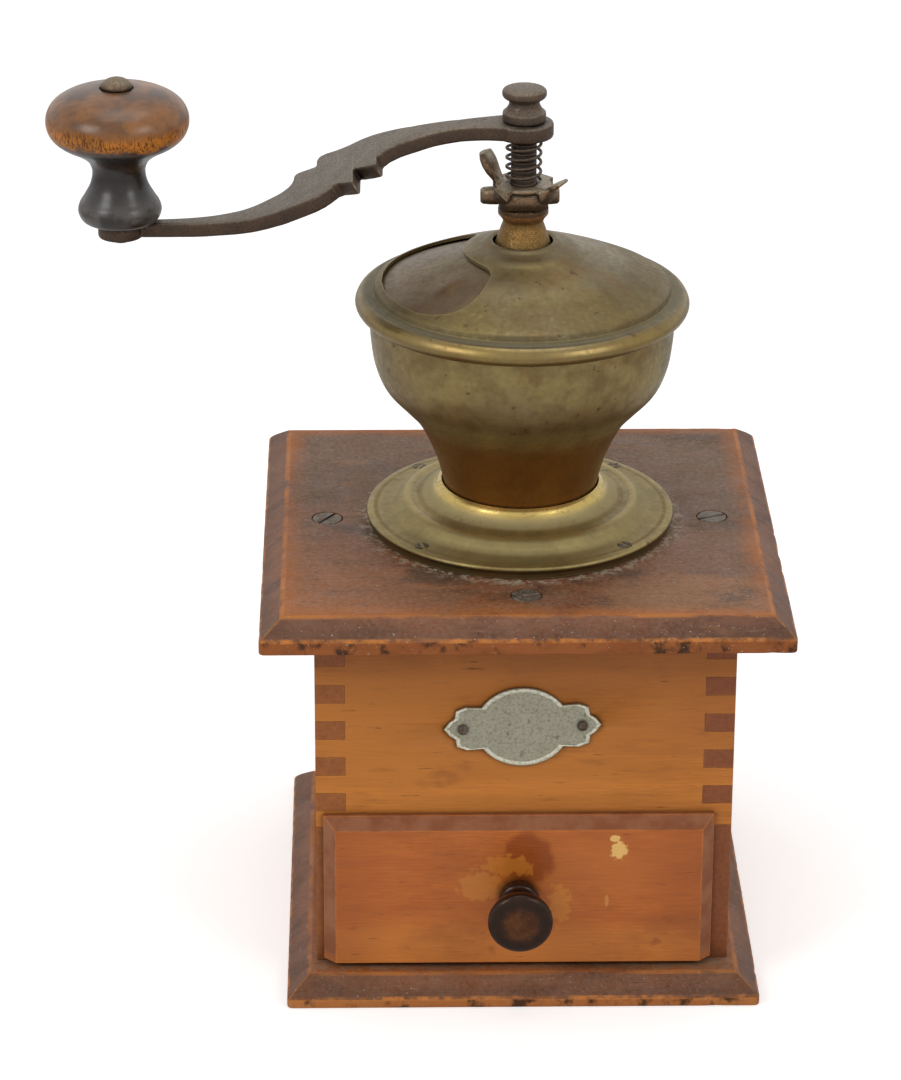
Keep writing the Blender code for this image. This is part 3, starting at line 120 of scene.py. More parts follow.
HANDLE = [(0.36, 0.0), (0.52, 0.025), (0.585, 0.09), (0.56, 0.15), (0.50, 0.20), (0.41, 0.285), (0.372, 0.37),
          (0.39, 0.43), (0.46, 0.485), (0.64, 0.55), (0.82, 0.60), (0.93, 0.65), (0.985, 0.705), (1.0, 0.76),
          (0.98, 0.82), (0.91, 0.88), (0.78, 0.93), (0.60, 0.968), (0.36, 0.992), (0.245, 0.997)]
FINIAL = [(0.93, 0.0), (0.97, 0.05), (0.97, 0.24), (0.90, 0.29), (0.80, 0.36), (0.71, 0.46), (0.69, 0.54),
          (0.74, 0.62), (0.90, 0.68), (0.98, 0.74), (1.0, 0.81), (0.97, 0.90), (0.82, 0.96), (0.45, 0.99), (0.0, 1.0)]
PULL = [(0.56, 0.0), (0.60, 0.06), (0.64, 0.12), (0.64, 0.24), (0.57, 0.29), (0.56, 0.34), (0.61, 0.45),
        (0.73, 0.58), (0.88, 0.70), (0.97, 0.79), (1.0, 0.86), (0.97, 0.93), (0.84, 0.975), (0.45, 0.995),
        (0.0, 1.0)]

# The crank arm in millimetres: its top line, and how far its two edges stand from the middle
ARM_TOP = [(-120.0, 216.2), (-108, 216.3), (-95, 216.6), (-86, 217.4), (-78, 218.9), (-71, 221.6), (-65, 225.0),
           (-59, 228.6), (-53.3, 231.9), (-48, 235.0), (-42, 238.4), (-35, 241.5), (-28, 243.6), (-20, 245.0),
           (-10, 245.8), (4, 246.0)]
ARM_BACK = [(-120, 2.1), (-109, 2.1), (-98, 2.4), (-87, 3.0), (-80, 3.9), (-75.5, 4.9), (-72, 5.9), (-68.6, 6.3),
            (-66.6, 7.4), (-65.7, 9.2), (-65.3, 11.0), (-65.1, 14.2), (-64.7, 15.1), (-63.9, 15.2), (-62.7, 14.5),
            (-60.2, 12.6), (-59.1, 11.9), (-58.7, 12.2), (-58.6, 16.6), (-58.2, 18.3), (-57.4, 18.9), (-55.9, 18.4),
            (-53.4, 16.5), (-50, 14.6), (-46, 13.6), (-41.9, 11.5), (-36.5, 8.3), (-31.5, 5.7), (-26, 4.6),
            (-18, 4.0), (-11, 4.9), (-6, 6.0), (4, 6.7)]
ARM_FRONT = [(-120, 2.1), (-109, 2.1), (-98, 2.6), (-87, 3.8), (-80, 5.4), (-75.5, 6.9), (-72, 8.4), (-66.2, 11.8),
             (-60.7, 14.8), (-58.2, 15.2), (-56.4, 14.6), (-54.3, 13.2), (-52.7, 14.0), (-50.3, 17.5),
             (-49.0, 19.2), (-48.5, 19.5), (-48.35, 18.8), (-48.3, 14.3), (-48.25, 9.0), (-47.9, 8.8),
             (-47.0, 10.4), (-44.6, 13.4), (-42.6, 15.1), (-42.0, 15.2), (-41.8, 14.4), (-41.75, 9.6),
             (-41.3, 8.3), (-39.8, 6.8), (-36.6, 6.1), (-31.5, 6.2), (-26, 5.0), (-18, 4.2), (-11, 4.9),
             (-6, 6.0), (4, 6.7)]

# The name plate's outline as shares of its half width and half height, from the end to the oval's shoulder
PLATE_EAR = [(1.0, 0.0), (0.93, 0.17), (0.86, 0.26), (0.84, 0.46), (0.72, 0.55), (0.60, 0.53)]


def linear(code):
    """An sRGB hex colour as linear light: each channel over 0.04045 is raised to the power 2.4."""
    channels = [int(code[i:i + 2], 16) / 255 for i in (1, 3, 5)]
    return tuple(c / 12.92 if c <= 0.04045 else ((c + 0.055) / 1.055) ** 2.4 for c in channels) + (1.0,)


def add_node(tree, kind, settings=None, links=None, out=0):
    """One node with its settings, and each input set to a value or linked to a socket."""
    made = tree.nodes.new("ShaderNode" + kind)
    for key, value in (settings or {}).items():
        setattr(made, key, value)
    for key, value in (links or {}).items():
        if isinstance(value, bpy.types.NodeSocket):
            tree.links.new(value, made.inputs[key])
        else:
            made.inputs[key].default_value = value
    return made.outputs[out]


def ramped(tree, value, low, high):
    """A value spread from 0 at low to 1 at high, with soft ends."""
    return add_node(tree, "MapRange", {"interpolation_type": "SMOOTHSTEP"}, {0: value, 1: low, 2: high})


def blotches(tree, place, size, low, high, detail=4.0, seed=0.0, stretch=(1, 1, 1)):
    """A soft mask: noise with spots of this size in millimetres, cut to 0 below low and 1 above high. The seed
    moves the pattern, and a stretch below 1 draws its spots out along that axis."""
    moved = add_node(tree, "Mapping", None, {"Vector": place, "Location": (seed, -seed, seed / 2), "Scale": stretch})
    noise = add_node(tree, "TexNoise", None, {"Vector": moved, "Scale": 1 / (size * MM), "Detail": detail,
                                              "Roughness": 0.6})
    return ramped(tree, noise, low, high)


def near(tree, place, centre, reach, ragged=0.0, grain=4 * MM):
    """A mask that is 1 at the centre and 0 past the reach along each axis, with an edge broken by noise."""
    inverse = tuple(1 / r for r in reach)
    off = add_node(tree, "VectorMath", {"operation": "SUBTRACT"}, {0: place, 1: centre})
    off = add_node(tree, "VectorMath", {"operation": "MULTIPLY"}, {0: off, 1: inverse})
    far = add_node(tree, "VectorMath", {"operation": "LENGTH"}, {0: off}, "Value")
    noise = add_node(tree, "TexNoise", None, {"Vector": place, "Scale": 1 / grain, "Detail": 5.0})
    shift = add_node(tree, "Math", {"operation": "MULTIPLY_ADD"}, {0: noise, 1: ragged, 2: -ragged / 2})
    far = add_node(tree, "Math", {"operation": "ADD"}, {0: far, 1: shift})
    return ramped(tree, far, 1.0, 0.72)


def times(tree, *values):
    """The product of masks."""
    product = values[0]
    for value in values[1:]:
        product = add_node(tree, "Math", {"operation": "MULTIPLY"}, {0: product, 1: value})
    return product


def layered(tree, base, *layers):
    """Colours laid over the base in turn, each given with its masks and share, which are multiplied."""
    for colour, *masks in layers:
        first, second = (linear(c) if isinstance(c, str) else c for c in (base, colour))
        base = add_node(tree, "Mix", {"data_type": "RGBA"}, {0: times(tree, *masks), 6: first, 7: second}, 2)
    return base


def arris(tree, radius):
    """A mask of the edges: where a normal rounded over this radius leaves the face's own normal."""
    rounded = add_node(tree, "Bevel", {"samples": 6}, {"Radius": radius})
    flat = add_node(tree, "NewGeometry", out="Normal")
    same = add_node(tree, "VectorMath", {"operation": "DOT_PRODUCT"}, {0: rounded, 1: flat}, "Value")
    return ramped(tree, same, 0.997, 0.955)


def inset(tree, parts, low, high):
    """How far a place lies inside a board's outline, seen from above, which is the lesser of its two distances,
    and the difference between the two, which is nothing on the corners' mitres."""
    reach = []
    for k in (0, 1):
        off = add_node(tree, "Math", {"operation": "SUBTRACT"}, {0: parts[k], 1: (low[k] + high[k]) / 2})
        off = add_node(tree, "Math", {"operation": "ABSOLUTE"}, {0: off})
        reach.append(add_node(tree, "Math", {"operation": "SUBTRACT"}, {0: (high[k] - low[k]) / 2, 1: off}))
    least = add_node(tree, "Math", {"operation": "MINIMUM"}, {0: reach[0], 1: reach[1]})
    return least, add_node(tree, "Math", {"operation": "SUBTRACT"}, {0: reach[0], 1: reach[1]})


def band(tree, value, at, width):
    """A mask that is 1 where the value is near a mark and 0 a width away from it."""
    off = add_node(tree, "Math", {"operation": "SUBTRACT"}, {0: value, 1: at})
    off = add_node(tree, "Math", {"operation": "ABSOLUTE"}, {0: off})
    return ramped(tree, off, width, width * 0.35)


def corner_shade(tree, reach):
    """A mask of painted shade in corners: where little open air is left within this reach."""
    open_air = add_node(tree, "AmbientOcclusion", {"samples": 6}, {"Distance": reach}, "AO")
    return ramped(tree, open_air, 0.85, 0.45)


def split(tree, vector):
    """The three parts of a vector."""
    return add_node(tree, "SeparateXYZ", None, {0: vector}).node.outputs


def reach_from_axis(tree, place, centre=(0, 0, 0)):
    """Distance from an upright axis."""
    off = add_node(tree, "VectorMath", {"operation": "SUBTRACT"}, {0: place, 1: centre})
    flat = add_node(tree, "VectorMath", {"operation": "MULTIPLY"}, {0: off, 1: (1, 1, 0)})
    return add_node(tree, "VectorMath", {"operation": "LENGTH"}, {0: flat}, "Value")


def start(name):
    """A fresh material: its node tree, and its place in object coordinates."""
    made = bpy.data.materials.new(name)
    made.use_nodes = True
    tree = made.node_tree
    tree.nodes.clear()
    place = add_node(tree, "TexCoord", out="Object")
    return made, tree, place


def surface(made, tree, colour, roughness, height=None, depth=0.1 * MM, soften=0.0, **constants):
    """Closes a material: colour and roughness by socket or value, bump from a height, and plain constants."""
    normal = None
    if soften:
        normal = add_node(tree, "Bevel", {"samples": 4}, {"Radius": soften})
    if height is not None:
        links = {"Height": height, "Distance": depth, "Strength": 1.0}
        if normal is not None:
            links["Normal"] = normal
        normal = add_node(tree, "Bump", None, links)
    links = {"Base Color": colour, "Roughness": roughness}
    if normal is not None:
        links["Normal"] = normal
    links.update({key.replace("_", " "): value for key, value in constants.items()})
    shader = add_node(tree, "BsdfPrincipled", None, links)
    output = tree.nodes.new("ShaderNodeOutputMaterial")
    tree.links.new(shader, output.inputs["Surface"])
    return made


def grain(tree, place, along):
    """Beech figure along an axis: broad bands 9 mm apart, fibres 0.6 mm across and short dark flecks. Real
    fibres are finer, and are drawn this coarse so that they show."""
    long_way = {"X": (0.07, 1, 1), "Y": (1, 0.07, 1)}[along]
    fleck_way = {"X": (0.12, 1, 1), "Y": (1, 0.12, 1)}[along]
    bands = blotches(tree, place, 9, 0.35, 0.68, 3.0, 0.31, long_way)
    fibres = blotches(tree, place, 0.6, 0.3, 0.7, 2.0, 0.77, long_way)
    flecks = blotches(tree, place, 1.1, 0.68, 0.78, 2.0, 0.13, fleck_way)
    return bands, fibres, flecks


def long_streak(along):
    """How far a streak is drawn out along its board's axis."""
    return {"X": (0.16, 1, 1), "Y": (1, 0.16, 1)}[along]


def oiled_beech(name, along, light, dark, end):
    """Beech, planed and oiled long ago. Its fibres show as fine lines, end grain drinks more oil and is
    darker, hands have rubbed it to a dull sheen, and its arrises are worn."""
    made, tree, place = start(name)
    bands, fibres, flecks = grain(tree, place, along)
    facing = split(tree, add_node(tree, "TexCoord", out="Normal"))
    across = facing[0 if along == "X" else 1]
    across = add_node(tree, "Math", {"operation": "ABSOLUTE"}, {0: across})
    ends = ramped(tree, across, 0.6, 0.8)
    drunk = add_node(tree, "MapRange", None, {0: split(tree, place)[0], 1: -40 * MM, 2: 40 * MM, 3: 0.6, 4: 0.9})
    clouds = blotches(tree, place, 38, 0.38, 0.66, 3.0, 0.5, (0.5, 1, 1))
    smudges = blotches(tree, place, 14, 0.60, 0.76, 5.0, 0.9, (0.6, 1, 1))
    height = split(tree, place)[2]
    # painted shade: the wall darkens towards the top, under the overhang of the top board
    shade = ramped(tree, height, 88 * MM, 116 * MM)
    warm = ramped(tree, height, 84 * MM, 62 * MM)
    edges = times(tree, arris(tree, 0.6 * MM), blotches(tree, place, 5, 0.35, 0.6, seed=0.21))
    rough_end = blotches(tree, place, 1.2, 0.3, 0.7, 3.0, 0.4)
    streaks = blotches(tree, place, 3.5, 0.58, 0.74, 4.0, 0.67, long_streak(along))
    colour = layered(tree, light, ("#D0802F", warm, 0.85), (dark, bands, 0.5), (dark, fibres, 0.32),
                     ("#C97E32", clouds, 0.45), ("#8A4F22", shade, 0.6), ("#7A431C", smudges, 0.5),
                     ("#7E4A20", streaks, 0.35), ("#5C3216", flecks, 0.75), (end, ends, drunk),
                     ("#50301A", ends, rough_end, 0.3), ("#C0803C", edges, 0.3),
                     # painted shade in the corners, where the walls meet the boards
                     ("#4A2814", corner_shade(tree, 7 * MM), 0.5))
    rough = add_node(tree, "MapRange", None, {0: bands, 3: 0.42, 4: 0.55})
    return surface(made, tree, colour, rough, fibres, 0.05 * MM, 0.3 * MM, Specular_IOR_Level=0.3)


def drawer_beech(name):
    """Beech under old shellac. The varnish is flaking: pale bare patches by the knob, a dark ring of hand
    grease above it, and dusty purplish bevels whose arrises are rubbed to bare wood."""
    made, tree, place = start(name)
    low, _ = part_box("drawer_front")
    knob_low, knob_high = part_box("drawer_knob")
    x, z = (knob_low.x + knob_high.x) / 2, (knob_low.z + knob_high.z) / 2
    face = low.y
    bands, fibres, flecks = grain(tree, place, "X")
    facing = split(tree, add_node(tree, "TexCoord", out="Normal"))
    flat = add_node(tree, "Math", {"operation": "ABSOLUTE"}, {0: facing[1]})
    bevel = ramped(tree, flat, 0.97, 0.90)
    clouds = blotches(tree, place, 30, 0.40, 0.66, 3.0, 0.62, (0.5, 1, 1))
    smudges = blotches(tree, place, 9, 0.62, 0.74, 5.0, 0.37, (0.5, 1, 1))
    grime = blotches(tree, place, 16, 0.50, 0.70, 5.0, 0.71, (0.6, 1, 1))
    dust = blotches(tree, place, 7, 0.35, 0.65, 5.0, 0.55)
    stain = near(tree, place, (x + 2.5 * MM, face, z + 12 * MM), (8.5 * MM, 9 * MM, 10 * MM), 0.7, 5 * MM)
    rubbed = near(tree, place, (x - 11 * MM, face, z + 3 * MM), (7.5 * MM, 9 * MM, 5.5 * MM), 1.9, 2.2 * MM)
    above = near(tree, place, (x - 3 * MM, face, z + 9.5 * MM), (8.5 * MM, 9 * MM, 3.6 * MM), 2.0, 1.8 * MM)
    beside = near(tree, place, (x + 12 * MM, face, z - 2.5 * MM), (3.4 * MM, 9 * MM, 7.5 * MM), 1.9, 1.8 * MM)
    chip = near(tree, place, (x + 27.7 * MM, face, z + 18.2 * MM), (1.7 * MM, 9 * MM, 1.3 * MM), 1.3, 0.9 * MM)
    low_chip = near(tree, place, (x + 28.8 * MM, face, z + 14.4 * MM), (2.7 * MM, 9 * MM, 3.1 * MM), 1.3, 1.2 * MM)
    scratch = near(tree, place, (x + 25.5 * MM, face, z - 2 * MM), (0.6 * MM, 9 * MM, 2.2 * MM), 1.2, 1.2 * MM)
    edges = times(tree, arris(tree, 0.7 * MM), blotches(tree, place, 6, 0.30, 0.55, seed=0.11))
    parts = split(tree, place)
    foot = ramped(tree, parts[2], low.z + 17 * MM, low.z + 8 * MM)
    # painted shade: the front darkens towards its two ends
    sides = [ramped(tree, parts[0], x + way * 34 * MM, x + way * 52 * MM) for way in (-1, 1)]
    sides = add_node(tree, "Math", {"operation": "MAXIMUM"}, {0: sides[0], 1: sides[1]})
    bare_foot = times(tree, ramped(tree, parts[2], low.z + 4.5 * MM, low.z + 2.5 * MM), bevel)
    colour = layered(tree, "#C26A26", ("#A05222", bands, 0.5), ("#8A4620", fibres, 0.32), ("#C4722E", clouds, 0.5),
                     ("#D08438", foot, 0.45), ("#924A1E", sides, 0.4), ("#743714", smudges, 0.6),
                     ("#84441A", grime, 0.35), ("#532A13", flecks, 0.6), ("#8C4010", stain, 0.8),
                     ("#CC8436", rubbed, 0.5), ("#CC7F2E", above, 0.55), ("#CC8232", beside, 0.55),
                     ("#EABA6C", chip, 0.95), ("#EABA6C", low_chip, 0.95), ("#D49A50", scratch, 0.5),
                     ("#7E482A", bevel, 0.9), ("#9C6846", bevel, dust, 0.65), ("#A6602C", bare_foot, 0.75),
                     # painted shade in the corners: by the walls and round the knob
                     ("#CC7630", edges, 0.75), ("#3A1E10", corner_shade(tree, 2.5 * MM), 0.6))
    gloss = add_node(tree, "MapRange", None, {0: clouds, 3: 0.30, 4: 0.44})
    rough = add_node(tree, "Mix", None, {0: bevel, 2: gloss, 3: 0.62})
    return surface(made, tree, colour, rough, fibres, 0.04 * MM, 0.35 * MM, Specular_IOR_Level=0.35)


def stained_beech(name, node, edge, bevel, warm_front, rim_tone, slope_tone):
    """Beech stained red-brown and left dusty. Its stain is rubbed through to orange along the arrises, grey
    dust lies on it towards the back and thickest against the metal, and pale specks are scattered over it."""
    made, tree, place = start(name)
    low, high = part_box(node)
    bands, fibres, flecks = grain(tree, place, "X")
    parts = split(tree, place)
    facing = split(tree, add_node(tree, "TexCoord", out="Normal"))
    level = ramped(tree, facing[2], 0.88, 0.97)
    slope = times(tree, ramped(tree, facing[2], 0.45, 0.65), ramped(tree, facing[2], 0.96, 0.88))
    back = ramped(tree, parts[1], -58 * MM, 40 * MM)
    right = ramped(tree, parts[0], 5 * MM, 62 * MM)
    clouds = blotches(tree, place, 30, 0.36, 0.64, 4.0, 0.17, (0.6, 1, 1))
    dust = blotches(tree, place, 10, 0.32, 0.68, 6.0, 0.83)
    fine = blotches(tree, place, 1.2, 0.40, 0.66, 4.0, 0.29)
    scuffs = blotches(tree, place, 5, 0.60, 0.70, 6.0, 0.57, (0.25, 1, 1))
    specks = blotches(tree, place, 0.75, 0.69, 0.73, 2.0, 0.49)
    worn = blotches(tree, place, 7, 0.34, 0.60, 5.0, 0.71, (0.5, 1, 1))
    inside, off_corner = inset(tree, parts, low, high)
    broken = blotches(tree, place, 2.5, 0.30, 0.62, 6.0, 0.05)
    crest = times(tree, band(tree, inside, bevel, 1.0 * MM), worn)
    lip = times(tree, band(tree, inside, 0, 0.9 * MM), band(tree, parts[2], low.z + edge, 0.9 * MM), worn, broken)
    glow = times(tree, ramped(tree, inside, bevel + 7.5 * MM, bevel - 1 * MM), level)
    off_mitre = add_node(tree, "Math", {"operation": "ABSOLUTE"}, {0: off_corner})
    corner = times(tree, ramped(tree, off_mitre, 34 * MM, 6 * MM), slope)
    mitre = times(tree, band(tree, off_corner, 0, 0.8 * MM), slope, broken)
    warm = times(tree, ramped(tree, parts[0], 30 * MM, -75 * MM), ramped(tree, parts[1], 30 * MM, -70 * MM))
    front = ramped(tree, parts[1], -52 * MM, -66 * MM)
    gloom = blotches(tree, place, 17, 0.50, 0.68, 5.0, 0.63, (0.6, 1, 1))
    darkening = blotches(tree, place, 11, 0.44, 0.72, 6.0, 0.37, (0.4, 1, 1))
    pores = blotches(tree, place, 0.9, 0.56, 0.68, 3.0, 0.93, (0.5, 1, 1))
    foot = ramped(tree, inside, bevel * 0.75, bevel * 0.15)
    chips = blotches(tree, place, 2.6, 0.50, 0.66, 6.0, 0.91, (0.5, 1, 0.4))
    rim = ramped(tree, facing[2], 0.4, 0.2)
    sunny = near(tree, place, (46 * MM, low.y + 20 * MM, high.z), (30 * MM, 16 * MM, 12 * MM), 0.9, 9 * MM)
    colour = layered(tree, "#6E3F29", ("#583323", bands, 0.45), ("#462819", fibres, 0.25), ("#8E5630", clouds, 0.6),
                     ("#9E5C28", warm, warm_front), ("#A2602A", level, front, clouds, 0.5),
                     ("#63513F", level, back, 0.62), ("#786353", level, right, 0.35),
                     ("#9E6A3E", level, sunny, 0.55), ("#3E2A1C", gloom, 0.7), (slope_tone, slope, 0.6),
                     ("#8A6450", slope, dust, 0.6), ("#402B1E", slope, darkening, 0.7), ("#452D1F", slope, foot, 0.3),
                     ("#39251A", level, darkening, 0.3), ("#29180F", pores, 0.3), ("#29180F", level, pores, 0.35),
                     ("#7C604A", level, dust, 0.3), ("#9A826E", fine, 0.14), ("#9A826E", level, fine, 0.16),
                     ("#966A48", scuffs, 0.4), ("#301D14", flecks, 0.6), (rim_tone, rim, 0.85),
                     ("#A4602E", rim, worn, 0.5), ("#2C1B0D", rim, chips, 0.9), ("#AE6228", glow, 0.28),
                     ("#B46628", glow, clouds, 0.5), ("#4E3428", corner, 0.3), ("#A8703C", mitre, 0.6),
                     ("#B97438", crest, 0.7), ("#C67C3C", lip, 0.95), ("#BDAE9C", specks, 0.75))
    if node == "top_board":
        ring = reach_from_axis(tree, place)
        fringe = blotches(tree, place, 1.6, 0.46, 0.62, 6.0)
        chalk = times(tree, ramped(tree, ring, 50 * MM, 44.4 * MM), fringe)
        shadow = times(tree, ramped(tree, ring, 62 * MM, 46 * MM), gloom)
        colour = layered(tree, colour, ("#46342A", shadow, 0.5), ("#B0A18C", chalk, level, 0.85))
    else:
        reach = [add_node(tree, "Math", {"operation": "ABSOLUTE"}, {0: parts[k]}) for k in (0, 1)]
        reach = add_node(tree, "Math", {"operation": "MAXIMUM"}, {0: reach[0], 1: reach[1]})
        drift = times(tree, ramped(tree, reach, 66 * MM, 58 * MM), blotches(tree, place, 3, 0.38, 0.62, 6.0))
        colour = layered(tree, colour, ("#857462", drift, level, 0.5))
    rough = add_node(tree, "MapRange", None, {0: dust, 3: 0.42, 4: 0.60})
    height = add_node(tree, "Mix", None, {0: 0.4, 2: fibres, 3: specks})
    return surface(made, tree, colour, rough, height, 0.08 * MM, 0.3 * MM, Specular_IOR_Level=0.22)


def spun_brass(name, tone, gold, brown, dusty=(), fall=None, rough=0.35, metal=0.88):
    """Sheet brass, spun on a lathe and tarnished. Faint rings follow the spinning, the colour wanders from
    gold to olive brown, small dark spots sit on it, and grey dust fills its grooves. Rings by reach lay
    that dust, and also painted highlights and painted shade on a piece's rolls and steps, and a painted
    highlight runs along its edges."""
    made, tree, place = start(name)
    parts = split(tree, place)
    radius = reach_from_axis(tree, place)
    wide = blotches(tree, place, 24, 0.36, 0.66, 4.0, 0.41)
    mid = blotches(tree, place, 8, 0.42, 0.70, 5.0, 0.07)
    fine = blotches(tree, place, 1.6, 0.35, 0.70, 5.0, 0.63)
    spots = blotches(tree, place, 4.0, 0.67, 0.73, 2.0, 0.19)
    russet = blotches(tree, place, 15, 0.52, 0.70, 3.0, 0.77)
    green = blotches(tree, place, 19, 0.50, 0.68, 3.0, 0.53)
    pale = blotches(tree, place, 2.6, 0.72, 0.76, 3.0, 0.88)
    streaks = blotches(tree, place, 3.0, 0.60, 0.74, 3.0, 0.33, (1, 1, 0.2))
    along = add_node(tree, "Math", {"operation": "MULTIPLY_ADD"}, {0: radius, 1: 0.8, 2: parts[2]})
    ring_place = add_node(tree, "CombineXYZ", None, {2: along})
    rings = add_node(tree, "TexNoise", None, {"Vector": ring_place, "Scale": 1 / (0.9 * MM), "Detail": 1.0})
    colour = layered(tree, tone, (gold, wide, 0.75), (brown, mid, 0.55), (brown, streaks, 0.25),
                     ("#6E4A2A", russet, 0.4), ("#6A6436", green, 0.35), ("#3C3120", fine, 0.12),
                     ("#3A2C1C", spots, 0.6), ("#8F8F7A", pale, 0.25))
    # darker towards the bottom: brown patina on the hopper's neck, painted shade on the flange's rim wall
    if fall:
        dark_z, light_z, tint = fall
        low = ramped(tree, parts[2], light_z, dark_z)
        colour = layered(tree, colour, (tint, low, 0.85), ("#6B4A22", low, mid, 0.4))
    worn = add_node(tree, "MapRange", None, {0: fine, 3: rough, 4: rough + 0.14})
    # rings by reach: a positive share lays a tone and dulls the sheen, a negative one polishes; besides dust these
    # give painted highlights and painted shade
    for near_r, far_r, share, tint in dusty:
        soft = max(0.35 * MM, 0.3 * (far_r - near_r))
        inside = ramped(tree, radius, near_r - soft, near_r + soft)
        outside = ramped(tree, radius, far_r + soft, far_r - soft)
        ring_tone = times(tree, inside, outside, blotches(tree, place, 1.8, 0.20, 0.52, 5.0, 0.35), abs(share))
        colour = layered(tree, colour, (tint, ring_tone))
        worn = add_node(tree, "Mix", None, {0: ring_tone, 2: worn, 3: 0.75 if share > 0 else 0.2})
    # a painted highlight along the edges
    edges = arris(tree, 0.5 * MM)
    colour = layered(tree, colour, ("#A59260", edges, 0.45))
    height = add_node(tree, "Mix", None, {0: 0.35, 2: rings, 3: mid})
    return surface(made, tree, colour, worn, height, 0.045 * MM, Metallic=metal)


def turned_bronze(name):
    """Cast bronze, turned and worn. It is brown and pitted, coppery on its collar, with olive grime towards
    its foot, small painted glints, and a darker band just under the nut."""
    made, tree, place = start(name)
    parts = split(tree, place)
    wide = blotches(tree, place, 4, 0.38, 0.64, 5.0, 0.3)
    pits = blotches(tree, place, 0.45, 0.44, 0.70, 5.0, 0.6)
    glints = blotches(tree, place, 0.7, 0.60, 0.72, 4.0, 0.15)
    foot = ramped(tree, parts[2], 213.5 * MM, 208 * MM)
    bead = times(tree, ramped(tree, parts[2], 216.8 * MM, 218.2 * MM), ramped(tree, parts[2], 220 * MM, 218.9 * MM))
    # darker just under the nut
    darkening = ramped(tree, parts[2], 219 * MM, 219.6 * MM)
    colour = layered(tree, "#785C32", ("#98713F", wide, 0.6), ("#523A22", pits, 0.3), ("#70663C", foot, wide, 0.8),
                     ("#8A5C38", bead, 0.7), ("#C8A76E", glints, 0.7), ("#3B2A20", darkening, 0.85))
    rough = add_node(tree, "MapRange", None, {0: pits, 3: 0.34, 4: 0.58})
    return surface(made, tree, colour, rough, pits, 0.08 * MM, Metallic=0.85)


def rusted_iron(name, base="#47392F", rust="#5C4231", bright="#70675B", top=0.6, pitch=0.0, rubbed=0.75,
                hub=0.0, rough=0.44):
    """Wrought iron gone brown. Its upper faces are painted lighter grey, as lit from above, its undersides carry
    painted shade, rust lies on its sides, and the forged skin is finely pitted. Its edges are pale with rubbing
    and a painted highlight, and painted shade darkens its corners and a thread's valleys."""
    made, tree, place = start(name)
    wide = blotches(tree, place, 7, 0.38, 0.62, 5.0, 0.45)
    rusty = blotches(tree, place, 2.6, 0.50, 0.72, 6.0, 0.15)
    fine = blotches(tree, place, 0.6, 0.42, 0.70, 5.0, 0.75)
    facing = split(tree, add_node(tree, "TexCoord", out="Normal"))
    # painted light: faces turned up are lighter, as lit from above, and faces turned down darker, as painted shade
    upper = ramped(tree, facing[2], 0.35, 0.80)
    under = ramped(tree, facing[2], -0.05, -0.5)
    edges = arris(tree, 0.7 * MM)
    # pale edges: rubbed metal, and a painted highlight along the arrises
    dusty = times(tree, edges, blotches(tree, place, 1.8, 0.36, 0.62, 5.0, 0.27))
    if hub:
        dusty = times(tree, dusty, ramped(tree, reach_from_axis(tree, place), hub, hub + 2 * MM))
    colour = layered(tree, base, (rust, wide, 0.35), (bright, upper, top), ("#7F7563", upper, wide, 0.35),
                     (rust, rusty, 0.5), ("#2A1F18", fine, 0.35), ("#3A2A20", under, 0.6),
                     # painted shade in the corners
                     ("#A89878", dusty, rubbed), ("#1E1712", corner_shade(tree, 2.5 * MM), 0.8))
    rough = add_node(tree, "MapRange", None, {0: fine, 3: rough, 4: rough + 0.22})
    height = add_node(tree, "Mix", None, {0: 0.45, 2: fine, 3: rusty})
    depth = 0.12 * MM
    if pitch:
        wave = add_node(tree, "Math", {"operation": "MULTIPLY"}, {0: split(tree, place)[2], 1: 2 * math.pi / pitch})
        wave = add_node(tree, "Math", {"operation": "SINE"}, {0: wave})
        height = add_node(tree, "Mix", None, {0: 0.8, 2: height, 3: wave})
        # painted shade in the thread's valleys
        colour = layered(tree, colour, ("#1E1712", ramped(tree, wave, 0.1, -0.8), 0.7))
        depth = 0.22 * MM
    return surface(made, tree, colour, rough, height, depth, Metallic=0.60)


